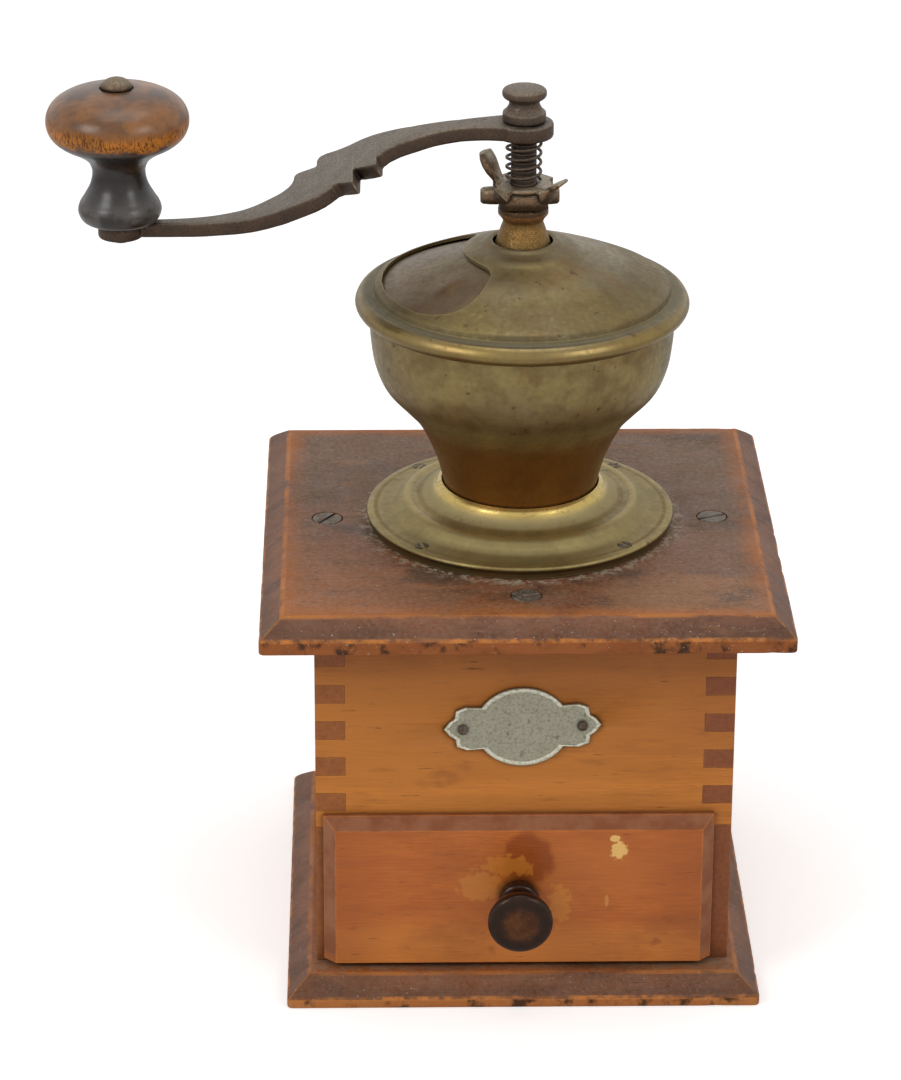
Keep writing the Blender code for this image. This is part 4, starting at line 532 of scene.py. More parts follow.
def handle_wood(name, centre):
    """A turned and varnished wooden grip. Its crown is smoky brown, the turn under its rim is worn to orange
    wood with upright dark pits, and the varnish on its neck and foot is still black and glossy, with painted
    grey sheen on the foot."""
    made, tree, place = start(name)
    low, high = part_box("crank_knob")
    parts = split(tree, place)
    level = add_node(tree, "MapRange", {"clamp": False}, {0: parts[2], 1: low.z, 2: high.z})
    upright = blotches(tree, place, 0.42, 0.50, 0.64, 3.0, 0.2, (1, 1, 0.2))
    wide = blotches(tree, place, 9, 0.36, 0.64, 4.0, 0.6)
    small = blotches(tree, place, 2.2, 0.45, 0.68, 5.0, 0.9)
    streaks = blotches(tree, place, 1.4, 0.35, 0.68, 3.0, 0.8, (0.12, 1, 1))
    smoky = blotches(tree, place, 12, 0.46, 0.66, 4.0, 0.36)
    ragged = add_node(tree, "Math", {"operation": "MULTIPLY_ADD"}, {0: wide, 1: 0.05, 2: -0.025})
    bent = add_node(tree, "Math", {"operation": "ADD"}, {0: level, 1: ragged})
    crown = ramped(tree, bent, 0.70, 0.86)
    rim = times(tree, ramped(tree, bent, 0.65, 0.70), ramped(tree, bent, 0.83, 0.74))
    black = ramped(tree, bent, 0.685, 0.625)
    waist = times(tree, ramped(tree, bent, 0.40, 0.43), ramped(tree, bent, 0.50, 0.46))
    bulb = ramped(tree, bent, 0.30, 0.16)
    around_pin = ramped(tree, reach_from_axis(tree, place, centre), 9 * MM, 5 * MM)
    colour = layered(tree, "#63401F", ("#66401F", crown, 0.85), ("#8A5A2A", crown, streaks, 0.4),
                     ("#96602C", crown, wide, 0.6), ("#3E2614", crown, small, 0.22),
                     ("#38251A", crown, smoky, 0.75), ("#9E622A", rim, 0.9), ("#CC7C2A", rim, wide, 0.7),
                     ("#3E2610", rim, upright, 0.7), ("#1A120E", black), ("#30231B", black, small, 0.5),
                     # painted sheen: the greys on the foot stand for reflections on the black varnish
                     ("#6E4A2A", waist, wide, 0.7), ("#35312E", bulb, 0.25), ("#625D58", bulb, wide, 0.6),
                     ("#3A2617", crown, around_pin, 0.6))
    rough = add_node(tree, "Mix", None, {0: black, 2: 0.32, 3: 0.31})
    shine = add_node(tree, "Mix", None, {0: rim, 2: 0.42, 3: 0.12})
    return surface(made, tree, colour, rough, times(tree, upright, rim), 0.3 * MM, Coat_Weight=0.12,
                   Coat_Roughness=0.22, Specular_IOR_Level=shine)


def ebonised_wood(name):
    """A turned knob stained black and polished. Its rim shines, and use has thinned the stain on its face
    to a brown disc."""
    made, tree, place = start(name)
    low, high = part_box("drawer_knob")
    middle = ((low.x + high.x) / 2, 0, (low.z + high.z) / 2)
    off = add_node(tree, "VectorMath", {"operation": "SUBTRACT"}, {0: place, 1: middle})
    off = add_node(tree, "VectorMath", {"operation": "MULTIPLY"}, {0: off, 1: (1, 0, 1)})
    reach = add_node(tree, "VectorMath", {"operation": "LENGTH"}, {0: off}, "Value")
    parts = split(tree, place)
    front = ramped(tree, parts[1], low.y + 3.2 * MM, low.y + 0.6 * MM)
    worn = times(tree, ramped(tree, reach, 6.6 * MM, 3.2 * MM), front)
    wide = blotches(tree, place, 3.5, 0.35, 0.65, 5.0, 0.4)
    fine = blotches(tree, place, 0.8, 0.45, 0.7, 4.0, 0.9)
    colour = layered(tree, "#150B07", ("#30150A", wide, 0.4), ("#4E3020", worn, 0.85), ("#6A4228", worn, wide, 0.6),
                     ("#0C0705", fine, 0.25))
    rough = add_node(tree, "Mix", None, {0: worn, 2: 0.14, 3: 0.42})
    shine = add_node(tree, "Mix", None, {0: worn, 2: 0.28, 3: 0.1})
    coat = add_node(tree, "Mix", None, {0: worn, 2: 0.12, 3: 0.02})
    return surface(made, tree, colour, rough, fine, 0.03 * MM, Specular_IOR_Level=shine, Coat_Weight=coat,
                   Coat_Roughness=0.08, Specular_Tint=linear("#FFD9BC"))


def stamped_zinc(name, centre):
    """Zinc sheet, stamped and oxidised to a chalky grey. Grime sits inside the rim, its corners and the ground round
    the nails are darker with grime and painted shade, and the raised rim is rubbed brighter."""
    made, tree, place = start(name)
    parts = split(tree, place)
    wide = blotches(tree, place, 6, 0.36, 0.66, 5.0, 0.2)
    fine = blotches(tree, place, 0.8, 0.44, 0.66, 5.0, 0.5)
    spots = blotches(tree, place, 2.0, 0.62, 0.70, 4.0, 0.8)
    raised = ramped(tree, parts[1], centre[1] - 0.02 * MM, centre[1] - 0.28 * MM)
    low = ramped(tree, parts[1], centre[1] + 0.10 * MM, centre[1] + 0.35 * MM)
    colour = layered(tree, "#CFCDB8", ("#E0DECD", wide, 0.6), ("#918B73", fine, 0.55), ("#6A644A", spots, 0.65),
                     # the corners by the rim and round the nails: grime and painted shade
                     ("#5C543E", low, 0.54), ("#3E3828", corner_shade(tree, 1.2 * MM), 0.7), ("#DEDDCE", raised, 0.5))
    rough = add_node(tree, "MapRange", None, {0: wide, 3: 0.42, 4: 0.58})
    return surface(made, tree, colour, rough, fine, 0.06 * MM, Metallic=0.55)


def dull_steel(name, tone="#5C5044", dusty=0.5):
    """Turned steel screws gone dull: brown-grey, with dust in the slot and a few bright rubs."""
    made, tree, place = start(name)
    wide = blotches(tree, place, 2.5, 0.38, 0.64, 5.0, 0.7)
    fine = blotches(tree, place, 0.6, 0.42, 0.68, 4.0, 0.1)
    edges = arris(tree, 0.4 * MM)
    colour = layered(tree, tone, ("#7B7165", wide, 0.6), ("#8F8476", fine, dusty), ("#3A3028", edges, 0.4))
    rough = add_node(tree, "MapRange", None, {0: fine, 3: 0.42, 4: 0.66})
    return surface(made, tree, colour, rough, fine, 0.08 * MM, Metallic=0.7)


def closed_mesh(name, parts, sharp=38.0):
    """Parts as (points, close_rows, close_columns) grids in one mesh. Each face joins a point to its
    neighbours in the next row and column, doubles at poles are merged and faces are turned outwards."""
    work = bmesh.new()
    for points, close_rows, close_columns in parts:
        rows, columns = points.shape[:2]
        index = np.arange(rows * columns).reshape(rows, columns)
        if close_rows:
            index = np.vstack([index, index[:1]])
        if close_columns:
            index = np.hstack([index, index[:, :1]])
        faces = np.stack([index[:-1, :-1], index[1:, :-1], index[1:, 1:], index[:-1, 1:]], -1).reshape(-1, 4)
        mesh = bpy.data.meshes.new(name)
        mesh.from_pydata(points.reshape(-1, 3), [], faces)
        work.from_mesh(mesh)
        bpy.data.meshes.remove(mesh)
    bmesh.ops.remove_doubles(work, verts=work.verts, dist=MERGED_WITHIN)
    bmesh.ops.recalc_face_normals(work, faces=work.faces)
    mesh = bpy.data.meshes.new(name)
    work.to_mesh(mesh)
    work.free()
    mesh.shade_smooth()
    mesh.set_sharp_from_angle(angle=math.radians(sharp))
    return mesh


def smooth_line(points, spans=8):
    """A Catmull-Rom curve through the points: a cubic between each two, level with its neighbours' chord."""
    pts = np.array(points, float)
    ends = np.vstack([2 * pts[0] - pts[1], pts, 2 * pts[-1] - pts[-2]])
    a, b, c, d = (ends[i:len(ends) - 3 + i, None] for i in range(4))
    t = np.linspace(0, 1, spans, endpoint=False)[None, :, None]
    made = 0.5 * (2 * b + (c - a) * t + (2 * a - 5 * b + 4 * c - d) * t**2 + (3 * b - a - 3 * c + d) * t**3)
    return np.vstack([made.reshape(-1, pts.shape[1]), pts[-1:]])


def wall_back(line, wall):
    """The line moved one wall to its right and reversed, so that line and return close a sheet."""
    run = np.gradient(line, axis=0)
    run /= np.linalg.norm(run, axis=1)[:, None]
    return (line + wall * np.stack([run[:, 1], -run[:, 0]], 1))[::-1]


def turned_grid(loop, steps=144, centre=(0, 0)):
    """A (radius, height) line turned about an upright axis. Each point runs round a full circle."""
    angle = np.linspace(0, 2 * np.pi, steps, endpoint=False)
    r, z = loop[:, 0, None], loop[:, 1, None]
    return np.stack([centre[0] + r * np.cos(angle), centre[1] + r * np.sin(angle), z + 0 * angle], -1)


def plug(name, outline, low, high):
    """A cutter: a flat outline carried from one height up to another, closed by a face at each end."""
    count = len(outline)
    points = [(x, y, z) for z in (low, high) for x, y in outline]
    faces = [list(range(count)), list(range(count, 2 * count))]
    faces += [(i, (i + 1) % count, (i + 1) % count + count, i + count) for i in range(count)]
    mesh = bpy.data.meshes.new(name)
    mesh.from_pydata(points, [], faces)
    work = bmesh.new()
    work.from_mesh(mesh)
    bmesh.ops.recalc_face_normals(work, faces=work.faces)
    work.to_mesh(mesh)
    work.free()
    return mesh


def carved(mesh, *cutters, sharp=38.0):
    """A mesh less its cutters, by exact Booleans on objects that are removed again."""
    held = []
    for part in (mesh,) + cutters:
        obj = bpy.data.objects.new("carving", part)
        bpy.context.scene.collection.objects.link(obj)
        held.append(obj)
    for tool in held[1:]:
        step = held[0].modifiers.new("carve", "BOOLEAN")
        step.operation = "DIFFERENCE"
        step.solver = "EXACT"
        step.object = tool
    bpy.context.view_layer.update()
    made = bpy.data.meshes.new_from_object(held[0].evaluated_get(bpy.context.evaluated_depsgraph_get()))
    for obj in held:
        bpy.data.objects.remove(obj)
    made.shade_smooth()
    made.set_sharp_from_angle(angle=math.radians(sharp))
    return made


def rounded_rectangle(half_x, half_y, corner, per_side=170, per_arc=8):
    """Points round a rectangle with quarter-circle corners, the same count on each side, and the direction
    that points inwards at each of them."""
    arc = np.linspace(0, np.pi / 2, per_arc)
    points, inward = [], []
    for k, (sx, sy) in enumerate(((1, 1), (-1, 1), (-1, -1), (1, -1))):
        turn = arc + k * np.pi / 2
        way = np.stack([np.cos(turn), np.sin(turn)], 1)
        points.append(np.array([sx * (half_x - corner), sy * (half_y - corner)]) + corner * way)
        inward.append(-way)
    sides, ways = [], []
    for k in range(4):
        a, b = points[k][-1], points[(k + 1) % 4][0]
        t = np.linspace(0, 1, per_side + 2)[1:-1, None]
        sides += [points[k], a + (b - a) * t]
        ways += [inward[k], np.repeat(inward[k][-1:], per_side, 0)]
    return np.concatenate(sides), np.concatenate(ways)


def worn_board(name, node, edge, bevel, hole_r, heads):
    """A bevelled board as loops round its middle. A loop's half sizes are the board's less its inset. Chips
    and dents push the loops on the arrises inwards: a dent's depth is random noise averaged over 6 mm, and a
    chip is a short bump of it. Round holes take the screw heads, given as (x, y, top, down) places."""
    low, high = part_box(node)
    half_x, half_y = (high.x - low.x) / 2, (high.y - low.y) / 2
    middle = np.array([(high.x + low.x) / 2, (high.y + low.y) / 2])
    chance = np.random.default_rng(len(node))
    _, inward = rounded_rectangle(half_x, half_y, BOARD_CORNER)
    count = len(inward)

    def dents(width, depth):
        noise = np.convolve(np.tile(chance.normal(size=count), 3), np.hanning(width), "same")[count:2 * count]
        return depth * np.clip(noise / noise.std(), 0, 3)

    def chips(number, depth):
        made = np.zeros(count)
        for spot in chance.integers(0, count, number):
            reach = chance.uniform(1.2, 3.2)
            made = np.maximum(made, depth * chance.uniform(0.3, 1) * np.exp(-((np.arange(count) - spot) / reach)**2))
        return made
    profile = [(1.8, 0.0, 0, 0), (0.55, 0.0, 0.6, 0), (0.12, 0.16, 1, 0), (0, 0.5, 0.8, 0),
               (0, edge / MM - 0.9, 0.8, 0), (0.03, edge / MM - 0.35, 1, 0), (0.22, edge / MM + 0.02, 1, 0),
               (0.6, edge / MM + 0.42, 0.6, 0)]
    thick = (high.z - low.z) / MM
    slope = (thick - edge / MM) / (bevel / MM)
    profile += [(bevel / MM * s, edge / MM + slope * bevel / MM * s, 0.15, 0) for s in (0.3, 0.6)]
    profile += [(bevel / MM - 0.75, thick - 0.75 * slope - 0.03, 0, 0.3), (bevel / MM - 0.2, thick - 0.24, 0, 1),
                (bevel / MM + 0.35, thick - 0.05, 0, 1), (bevel / MM + 0.9, thick, 0, 0.4),
                (bevel / MM + 2.2, thick, 0, 0)]
    low_wear = dents(9, 0.02 * MM) + chips(8, 0.5 * MM)
    edge_wear = dents(9, 0.02 * MM) + chips(10, 0.3 * MM)
    top_wear = dents(7, 0.02 * MM) + chips(8, 0.2 * MM)
    rows = []
    for inset_mm, rise, side_wear, crest_wear in profile:
        step = inset_mm * MM
        loop, _ = rounded_rectangle(half_x - step, half_y - step, max(BOARD_CORNER - 0.6 * step, 0.3 * MM))
        wear = low_wear if rise < 1 else edge_wear
        loop = loop + inward * (wear * side_wear)[:, None]
        fall = top_wear * crest_wear
        rows.append(np.column_stack([loop + middle, low.z + rise * MM - fall]))
    if hole_r:
        angle = np.arctan2(rows[-1][:, 1], rows[-1][:, 0])
        ring = hole_r * np.stack([np.cos(angle), np.sin(angle)], 1)
        rows.append(np.column_stack([ring, np.full(count, high.z)]))
        rows.append(np.column_stack([ring, np.full(count, low.z)]))
        grid = np.stack(rows)
    else:
        ends = [np.tile([*middle, z], (count, 1)) for z in (low.z, high.z)]
        grid = np.stack([ends[0]] + rows + [ends[1]])
    mesh = closed_mesh(name, [(grid, bool(hole_r), True)], 50.0)
    around = np.linspace(0, 2 * np.pi, 40, endpoint=False)
    cutters = []
    for x, y, start_z, end_z in heads:
        ring = [(x + HEAD_SEAT * math.cos(a), y + HEAD_SEAT * math.sin(a)) for a in around]
        cutters.append(plug("screw_seat", ring, start_z, end_z))
    return carved(mesh, *cutters, sharp=50.0)


def place_piece(name, mesh, body, slot, material, *nodes):
    """A mesh as a piece: it rides on its body if it has one, stands for its CAD nodes and wears its material."""
    obj = bpy.data.objects.new(name, mesh)
    bpy.context.scene.collection.objects.link(obj)
    mesh.materials.clear()
    mesh.materials.append(material)
    if body:
        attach(obj, body)
    if nodes:
        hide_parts(*nodes)
    return obj


def smooth_copy(node, body, slot, material, sharp=40.0):
    """A copy of a CAD node with its triangles merged and its round faces shaded smooth."""
    work = bmesh.new()
    work.from_mesh(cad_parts[node].data)
    bmesh.ops.remove_doubles(work, verts=work.verts, dist=MERGED_WITHIN)
    mesh = bpy.data.meshes.new(node + "_smooth")
    work.to_mesh(mesh)
    work.free()
    mesh.shade_smooth()
    mesh.set_sharp_from_angle(angle=math.radians(sharp))
    return place_piece(node + "_smooth", mesh, body, slot, material, node)


def glued_copy(node, body, slot, material, grow):
    """A copy of a CAD node whose faces all move out a little, which closes glued joints. Each vertex moves by
    the smallest vector whose part along each of its faces' normals is that distance."""
    work = bmesh.new()
    work.from_mesh(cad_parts[node].data)
    bmesh.ops.remove_doubles(work, verts=work.verts, dist=MERGED_WITHIN)
    moves = {}
    for vert in work.verts:
        normals = np.array([face.normal for face in vert.link_faces if face.calc_area() > 0])
        moves[vert] = np.linalg.lstsq(normals, np.full(len(normals), grow), rcond=0.2)[0]
    for vert, move in moves.items():
        vert.co += Vector(move)
    mesh = bpy.data.meshes.new(node + "_glued")
    work.to_mesh(mesh)
    work.free()
    mesh.shade_smooth()
    mesh.set_sharp_from_angle(angle=math.radians(30))
    return place_piece(node + "_glued", mesh, body, slot, material, node)


def paint(material, *nodes):
    """Puts one material on CAD nodes that keep their own shape."""
    for node in nodes:
        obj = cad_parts[node]
        obj.data.materials.clear()
        obj.data.materials.append(material)


def sized(shares, node):
    """A turned outline at a node's own size: shares of its radius and height."""
    low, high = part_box(node)
    radius = (high.x - low.x) / 2
    line = np.array(shares, float)
    return np.stack([line[:, 0] * radius, low.z + line[:, 1] * (high.z - low.z)], 1)


class MillBoxSettings(bpy.types.PropertyGroup):
    oiled: FloatVectorProperty(name="Oiled beech", description="Colour of the walls between their bands",
                               subtype="COLOR", size=4, min=0, max=1, default=linear("#B0692A"))


class MillBrassSettings(bpy.types.PropertyGroup):
    wall: FloatProperty(name="Sheet", description="Thickness of the spun brass", unit="LENGTH", default=0.9 * MM,
                        min=0.3 * MM, max=2 * MM)
    steps: IntProperty(name="Steps", description="Facets round the hopper", default=160, min=48, max=360)
    opening_from: FloatProperty(name="Opening from", description="Angle of the opening's first edge",
                                subtype="ANGLE", default=math.radians(128.5), min=0, max=2 * math.pi)
    opening_to: FloatProperty(name="Opening to", description="Angle of the opening's last edge",
                              subtype="ANGLE", default=math.radians(243.0), min=0, max=2 * math.pi)
    opening_inner: FloatProperty(name="Opening inner reach", description="Reach of the opening's inner edge",
                                 unit="LENGTH", default=17 * MM, min=15 * MM, max=30 * MM)
    opening_outer: FloatProperty(name="Opening outer reach", description="Reach of the opening's outer edge",
                                 unit="LENGTH", default=40.3 * MM, min=32 * MM, max=41 * MM)


class MillCrankSettings(bpy.types.PropertyGroup):
    thickness: FloatProperty(name="Arm thickness", description="Thickness of the forged arm", unit="LENGTH",
                             default=4.3 * MM, min=2 * MM, max=8 * MM)
    corner: FloatProperty(name="Arm corner", description="Radius of the arm's worn corners", unit="LENGTH",
                          default=0.9 * MM, min=0.1 * MM, max=2 * MM)


class MillStageSettings(bpy.types.PropertyGroup):
    daylight: FloatProperty(name="Daylight", description="Strength of the even light round the mill", default=0.52,
                            min=0.0, max=2.0)
    lamp: FloatProperty(name="Lamps", description="Strength of the soft lamps", default=1.0, min=0.0, max=4.0)


class MILL_OT_box(bpy.types.Operator):
    """Finishes the wooden box, its boards and its screws"""
    bl_idname = "mill.box"
    bl_label = "Wooden box"

    def execute(self, context):
        """The boards are swept round their middles with worn arrises, and are carved for the screws' heads. The
        walls are copies of the CAD's own, grown a little so that their glued joints close."""
        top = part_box("top_board")[1].z
        heads = []
        for side in TOP_SCREWS:
            low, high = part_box("board_screw_" + side)
            middle = (low + high) / 2
            heads.append((middle.x, middle.y, top - HEAD_DEPTH, top + 1 * MM))
        board = worn_board("board_worn", "top_board", TOP_EDGE, BEVEL_WIDTH, RING_HOLE, heads)
        finish = stained_beech("beech_stained_dusty_top", "top_board", TOP_EDGE, BEVEL_WIDTH, 0.7, "#86481F",
                               "#6C4028")
        place_piece("board_worn", board, "mill", "stained_beech", finish, "top_board")
        heads = []
        for side in BASE_SCREWS:
            low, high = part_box("base_screw_" + side)
            middle = (low + high) / 2
            heads.append((middle.x, middle.y, low.z - 1 * MM, low.z + HEAD_DEPTH))
        board = worn_board("foot_worn", "base_board", BASE_EDGE, BEVEL_WIDTH, None, heads)
        finish = stained_beech("beech_stained_dusty_base", "base_board", BASE_EDGE, BEVEL_WIDTH, 0.6, "#BE783E",
                               "#7E5034")
        place_piece("foot_worn", board, "mill", "stained_beech", finish, "base_board")
        oil = context.scene.mill_box.oiled
        across = oiled_beech("beech_oiled_front", "X", oil, "#925522", "#864E2A")
        beside = oiled_beech("beech_oiled_sides", "Y", oil, "#8C5226", "#86492A")
        for node, wood in (("front_panel", across), ("back_panel", across), ("left_side", beside),
                           ("right_side", beside)):
            glued_copy(node, "mill", "oiled_beech", wood, GLUE_GROWTH)
        screws = dull_steel("steel_screw_dusty", "#55483C", 0.6)
        for node in ["board_screw_" + side for side in TOP_SCREWS] + ["base_screw_" + side for side in BASE_SCREWS]:
            smooth_copy(node, "mill", "screw_steel", screws)
        return {"FINISHED"}


class MILL_OT_drawer(bpy.types.Operator):
    """Finishes the drawer and its turned knob"""
    bl_idname = "mill.drawer"
    bl_label = "Drawer"

    def execute(self, context):
        """The knob's outline is turned about an axis through the drawer's front: every point of the profile
        runs round a circle whose radius is its share of the knob's own radius."""
        paint(drawer_beech("beech_shellac_flaking"), "drawer_front")
        plain = oiled_beech("beech_drawer_plain", "Y", "#B98048", "#9C6836", "#8A5A38")
        paint(plain, "drawer_left_side", "drawer_right_side", "drawer_back", "drawer_bottom")
        low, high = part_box("drawer_knob")
        radius, length = (high.x - low.x) / 2, high.y - low.y
        middle = ((low.x + high.x) / 2, (low.z + high.z) / 2)
        line = smooth_line(PULL, 6) * np.array([radius, length])
        line = np.vstack([[(0, 0)], line])
        angle = np.linspace(0, 2 * np.pi, 96, endpoint=False)
        r, out = line[:, 0, None], line[:, 1, None]
        grid = np.stack([middle[0] + r * np.cos(angle), high.y - out + 0 * angle, middle[1] + r * np.sin(angle)], -1)
        knob = closed_mesh("drawer_pull", [(grid, False, True)])
        place_piece("drawer_pull", knob, "drawer", "ebonised_wood", ebonised_wood("beech_ebonised_polished"),
                    "drawer_knob")
        smooth_copy("drawer_knob_screw", "drawer", "screw_steel", dull_steel("steel_knob_screw"))
        return {"FINISHED"}


class MILL_OT_plate(bpy.types.Operator):
    """Adds the stamped plate, bare and rimmed, and its nails"""
    bl_idname = "mill.plate"
    bl_label = "Name plate"

    def execute(self, context):
        """The outline is followed from the middle outwards: each point lies at a share of the outline's own
        radius, and stands out by a rim that rises near the edge and falls away at it."""
        low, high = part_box("name_plate")
        centre = Vector(((low.x + high.x) / 2, low.y, (low.z + high.z) / 2))
        half = PLATE_HALF
        ear = np.array(PLATE_EAR) * half
        oval_w = half[0] * 0.58 * 1.04
        begin = math.asin(ear[-1, 1] / half[1])
        sweep = np.linspace(begin, math.pi - begin, 60)
        oval = np.stack([oval_w * np.cos(sweep), half[1] * np.sin(sweep)], 1)
        upper = np.vstack([ear[:-1], oval, (ear * (-1, 1))[::-1][1:]])
        outline = np.vstack([upper, (upper * (1, -1))[::-1][1:-1]])
        closed = np.vstack([outline, outline[:1]])
        length = np.concatenate([[0], np.cumsum(np.linalg.norm(np.diff(closed, axis=0), axis=1))])
        steps = np.linspace(0, length[-1], 720, endpoint=False)
        edge = np.stack([np.interp(steps, length, closed[:, k]) for k in (0, 1)], 1)
        reach = np.linalg.norm(edge, axis=1)[None, :]
        share = np.concatenate([np.linspace(0, 0.8, 20), np.linspace(0.82, 1, 26)])[:, None]
        inset = (1 - share) * reach * 0.86
        rim = np.clip(1 - np.abs(inset - PLATE_RIM) / PLATE_RIM, 0, 1)
        rise = PLATE_SHEET * np.sqrt(rim) - 0.12 * MM * np.clip(1 - inset / (0.25 * MM), 0, 1)
        face = -PLATE_SHEET + rise
        flat = edge[None] * share[..., None]
        back = np.full_like(face, -0.9 * MM)

        def turned_into_place(plan, stand):
            x = plan[..., 0] * math.cos(PLATE_TILT) - plan[..., 1] * math.sin(PLATE_TILT)
            z = plan[..., 0] * math.sin(PLATE_TILT) + plan[..., 1] * math.cos(PLATE_TILT)
            return np.stack([centre.x + x, centre.y - stand, centre.z + z], -1)
        grid = np.concatenate([turned_into_place(flat, face), turned_into_place(flat[::-1], back)])
        mesh = closed_mesh("plate_bare", [(grid, False, True)], 50.0)
        place_piece("plate_bare", mesh, "mill", "stamped_zinc", stamped_zinc("zinc_stamped_chalky", centre),
                    "name_plate")
        nails = dull_steel("steel_nail_brown", "#4A3C30", 0.3)
        smooth_copy("plate_nail_left", "mill", "screw_steel", nails)
        smooth_copy("plate_nail_right", "mill", "screw_steel", nails)
        return {"FINISHED"}


class MILL_OT_brass(bpy.types.Operator):
    """Adds the spun brass flange, hopper, lid and shutter"""
    bl_idname = "mill.brass"
    bl_label = "Spun brass"

    def execute(self, context):
        """Each outline is smoothed, given its sheet's thickness and turned about the spindle's axis. The lid's
        opening is a sector: its outline runs by shares of an angle and of a reach, and is carved out."""
        settings = context.scene.mill_brass
        wall, steps = settings.wall, settings.steps
        bowl = smooth_line(sized(BOWL, "hopper_bowl")[::-1])
        loop = np.vstack([bowl, wall_back(bowl, wall)])
        mesh = closed_mesh("bowl_spun", [(turned_grid(loop, steps), True, True)])
        low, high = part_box("hopper_bowl")
        brass = spun_brass("brass_spun_tarnished_bowl", "#84724E", "#968453", "#664E30",
                           fall=(low.z + 22 * MM, low.z + 33 * MM, "#80521E"), rough=0.36)
        place_piece("bowl_spun", mesh, "mill", "aged_brass", brass, "hopper_bowl")
        flange = smooth_line(sized(FLANGE, "base_flange")[::-1])
        low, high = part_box("base_flange")
        loop = np.vstack([flange, wall_back(flange, wall)])
        mesh = closed_mesh("flange_spun", [(turned_grid(loop, steps), True, True)])
        # the flange's rings: olive dust on the annulus, painted highlights round the foot and on the roll's crest,
        # grey dust in the valley, painted shade on the roll's inner slope and dark gold by the rim; its fall paints
        # shade on the rim's wall
        brass = spun_brass("brass_spun_flange", "#8E7F54", "#A08C54", "#75623A",
                           [(32.5 * MM, 41 * MM, 0.45, "#8C8058"), (22.3 * MM, 25.6 * MM, -0.75, "#D2B668"),
                            (25.4 * MM, 28.4 * MM, 0.75, "#A79A70"), (28.6 * MM, 30.2 * MM, 0.35, "#6E5A2E"),
                            (32 * MM, 34 * MM, -0.4, "#B79E5C"),
                            (41.6 * MM, 42.8 * MM, 0.5, "#6E5728")],
                           fall=(low.z + 2.5 * MM, low.z + 3.3 * MM, "#3E2B0C"), rough=0.37, metal=0.72)
        place_piece("flange_spun", mesh, "mill", "aged_brass", brass, "base_flange")
        low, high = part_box("lid")
        size = np.array([(high.x - low.x) / 2, high.z - low.z])
        parts = [smooth_line(LID_CROWN, 6)[:-1], smooth_line(LID_CONE, 3), np.array(LID_STEP),
                 smooth_line(LID_BEAD, 7)]
        line = np.vstack(parts) * size + (0, low.z)
        loop = np.vstack([line, wall_back(line, wall)])
        mesh = closed_mesh("lid_spun", [(turned_grid(loop, steps), True, True)], 30.0)
        span = np.array(OPENING + [(1 - t, s) for t, s in OPENING[::-1]])
        sweep = smooth_line(span, 5)
        sweep = np.vstack([sweep, [(1 - t, 0.0) for t in (0.3, 0.4, 0.5, 0.6, 0.7)]])
        angle = settings.opening_from + (settings.opening_to - settings.opening_from) * sweep[:, 0]
        reach = settings.opening_inner + (settings.opening_outer - settings.opening_inner) * sweep[:, 1]
        outline = list(zip(reach * np.cos(angle), reach * np.sin(angle)))
        mesh = carved(mesh, plug("opening", outline, low.z, high.z + 5 * MM), sharp=30.0)
        # the lid's rings: grey dust on the flat ring, painted shade in the step below the cone, a polished bead, dust
        # round the hub and a darker outer cone
        brass = spun_brass("brass_spun_lid", "#73674C", "#7E6D42", "#5E4C32",
                           [(42.6 * MM, 45.4 * MM, 0.65, "#6B6858"), (42.3 * MM, 42.7 * MM, 0.4, "#2E281C"),
                            (46.4 * MM, 49 * MM, -0.35, "#9A7F44"), (8 * MM, 15 * MM, 0.35, "#6E6350"),
                            (30 * MM, 42 * MM, 0.4, "#5C4E2C")], rough=0.34)
        place_piece("lid_spun", mesh, "mill", "aged_brass", brass, "lid")
        place_piece("shutter_leaf", self.shutter_mesh(settings, low, size), "shutter", "aged_brass",
                    spun_brass("brass_spun_shutter", "#6A5A44", "#74634A", "#5C4634", rough=0.36), "lid_shutter")
        screws = dull_steel("brass_flange_screw_dark", "#4C3A22", 0.2)
        for k in range(4):
            smooth_copy(f"flange_screw_{k + 1}", "mill", "screw_steel", screws)
        return {"FINISHED"}

    def shutter_mesh(self, settings, low, size):
        """The leaf is a fan on the lid's own cone, 1.25 mm lower. Its thumb bump is 0.8 mm times the bell curve of
        the distances out from it and across it, less a wider and shallower hollow round it. At both ends the
        sheet's two faces meet."""
        angle = np.linspace(settings.opening_from - SHUTTER_LAP, settings.opening_to + SHUTTER_LAP, 160)[None]
        radius = np.linspace(*SHUTTER_REACH, 70)[:, None]
        (inner_r, inner_h), (outer_r, outer_h) = LID_CONE[0], LID_CONE[3]
        share = inner_h + (radius / size[0] - inner_r) * (outer_h - inner_h) / (outer_r - inner_r)
        height = low.z + size[1] * share - 1.25 * MM
        out = radius - THUMB_REACH
        across = radius * (angle - THUMB_ANGLE)
        bump = np.exp(-(out / (4.6 * MM))**2 - (across / (3.2 * MM))**2)
        hollow = np.exp(-(out / (8 * MM))**2 - (across / (7 * MM))**2)
        top = height + 0.8 * MM * bump - 0.4 * MM * hollow
        thick = SHUTTER_SHEET
        upper = np.stack([radius * np.cos(angle), radius * np.sin(angle), top], -1)
        lower = upper - (0, 0, thick)
        for end in (0, -1):
            upper[:, end, 2] -= thick / 2
            lower[:, end, 2] += thick / 2
        eye_top = height[0, 0] - 0.1 * thick
        eye = np.array([(13.5 * MM, eye_top), (9.5 * MM, eye_top), (9.5 * MM, eye_top - 0.8 * thick),
                        (13.5 * MM, eye_top - 0.8 * thick)])
        return closed_mesh("shutter_leaf", [(np.concatenate([upper, lower[::-1]]), True, False),
                                            (turned_grid(eye, 96), True, True)])


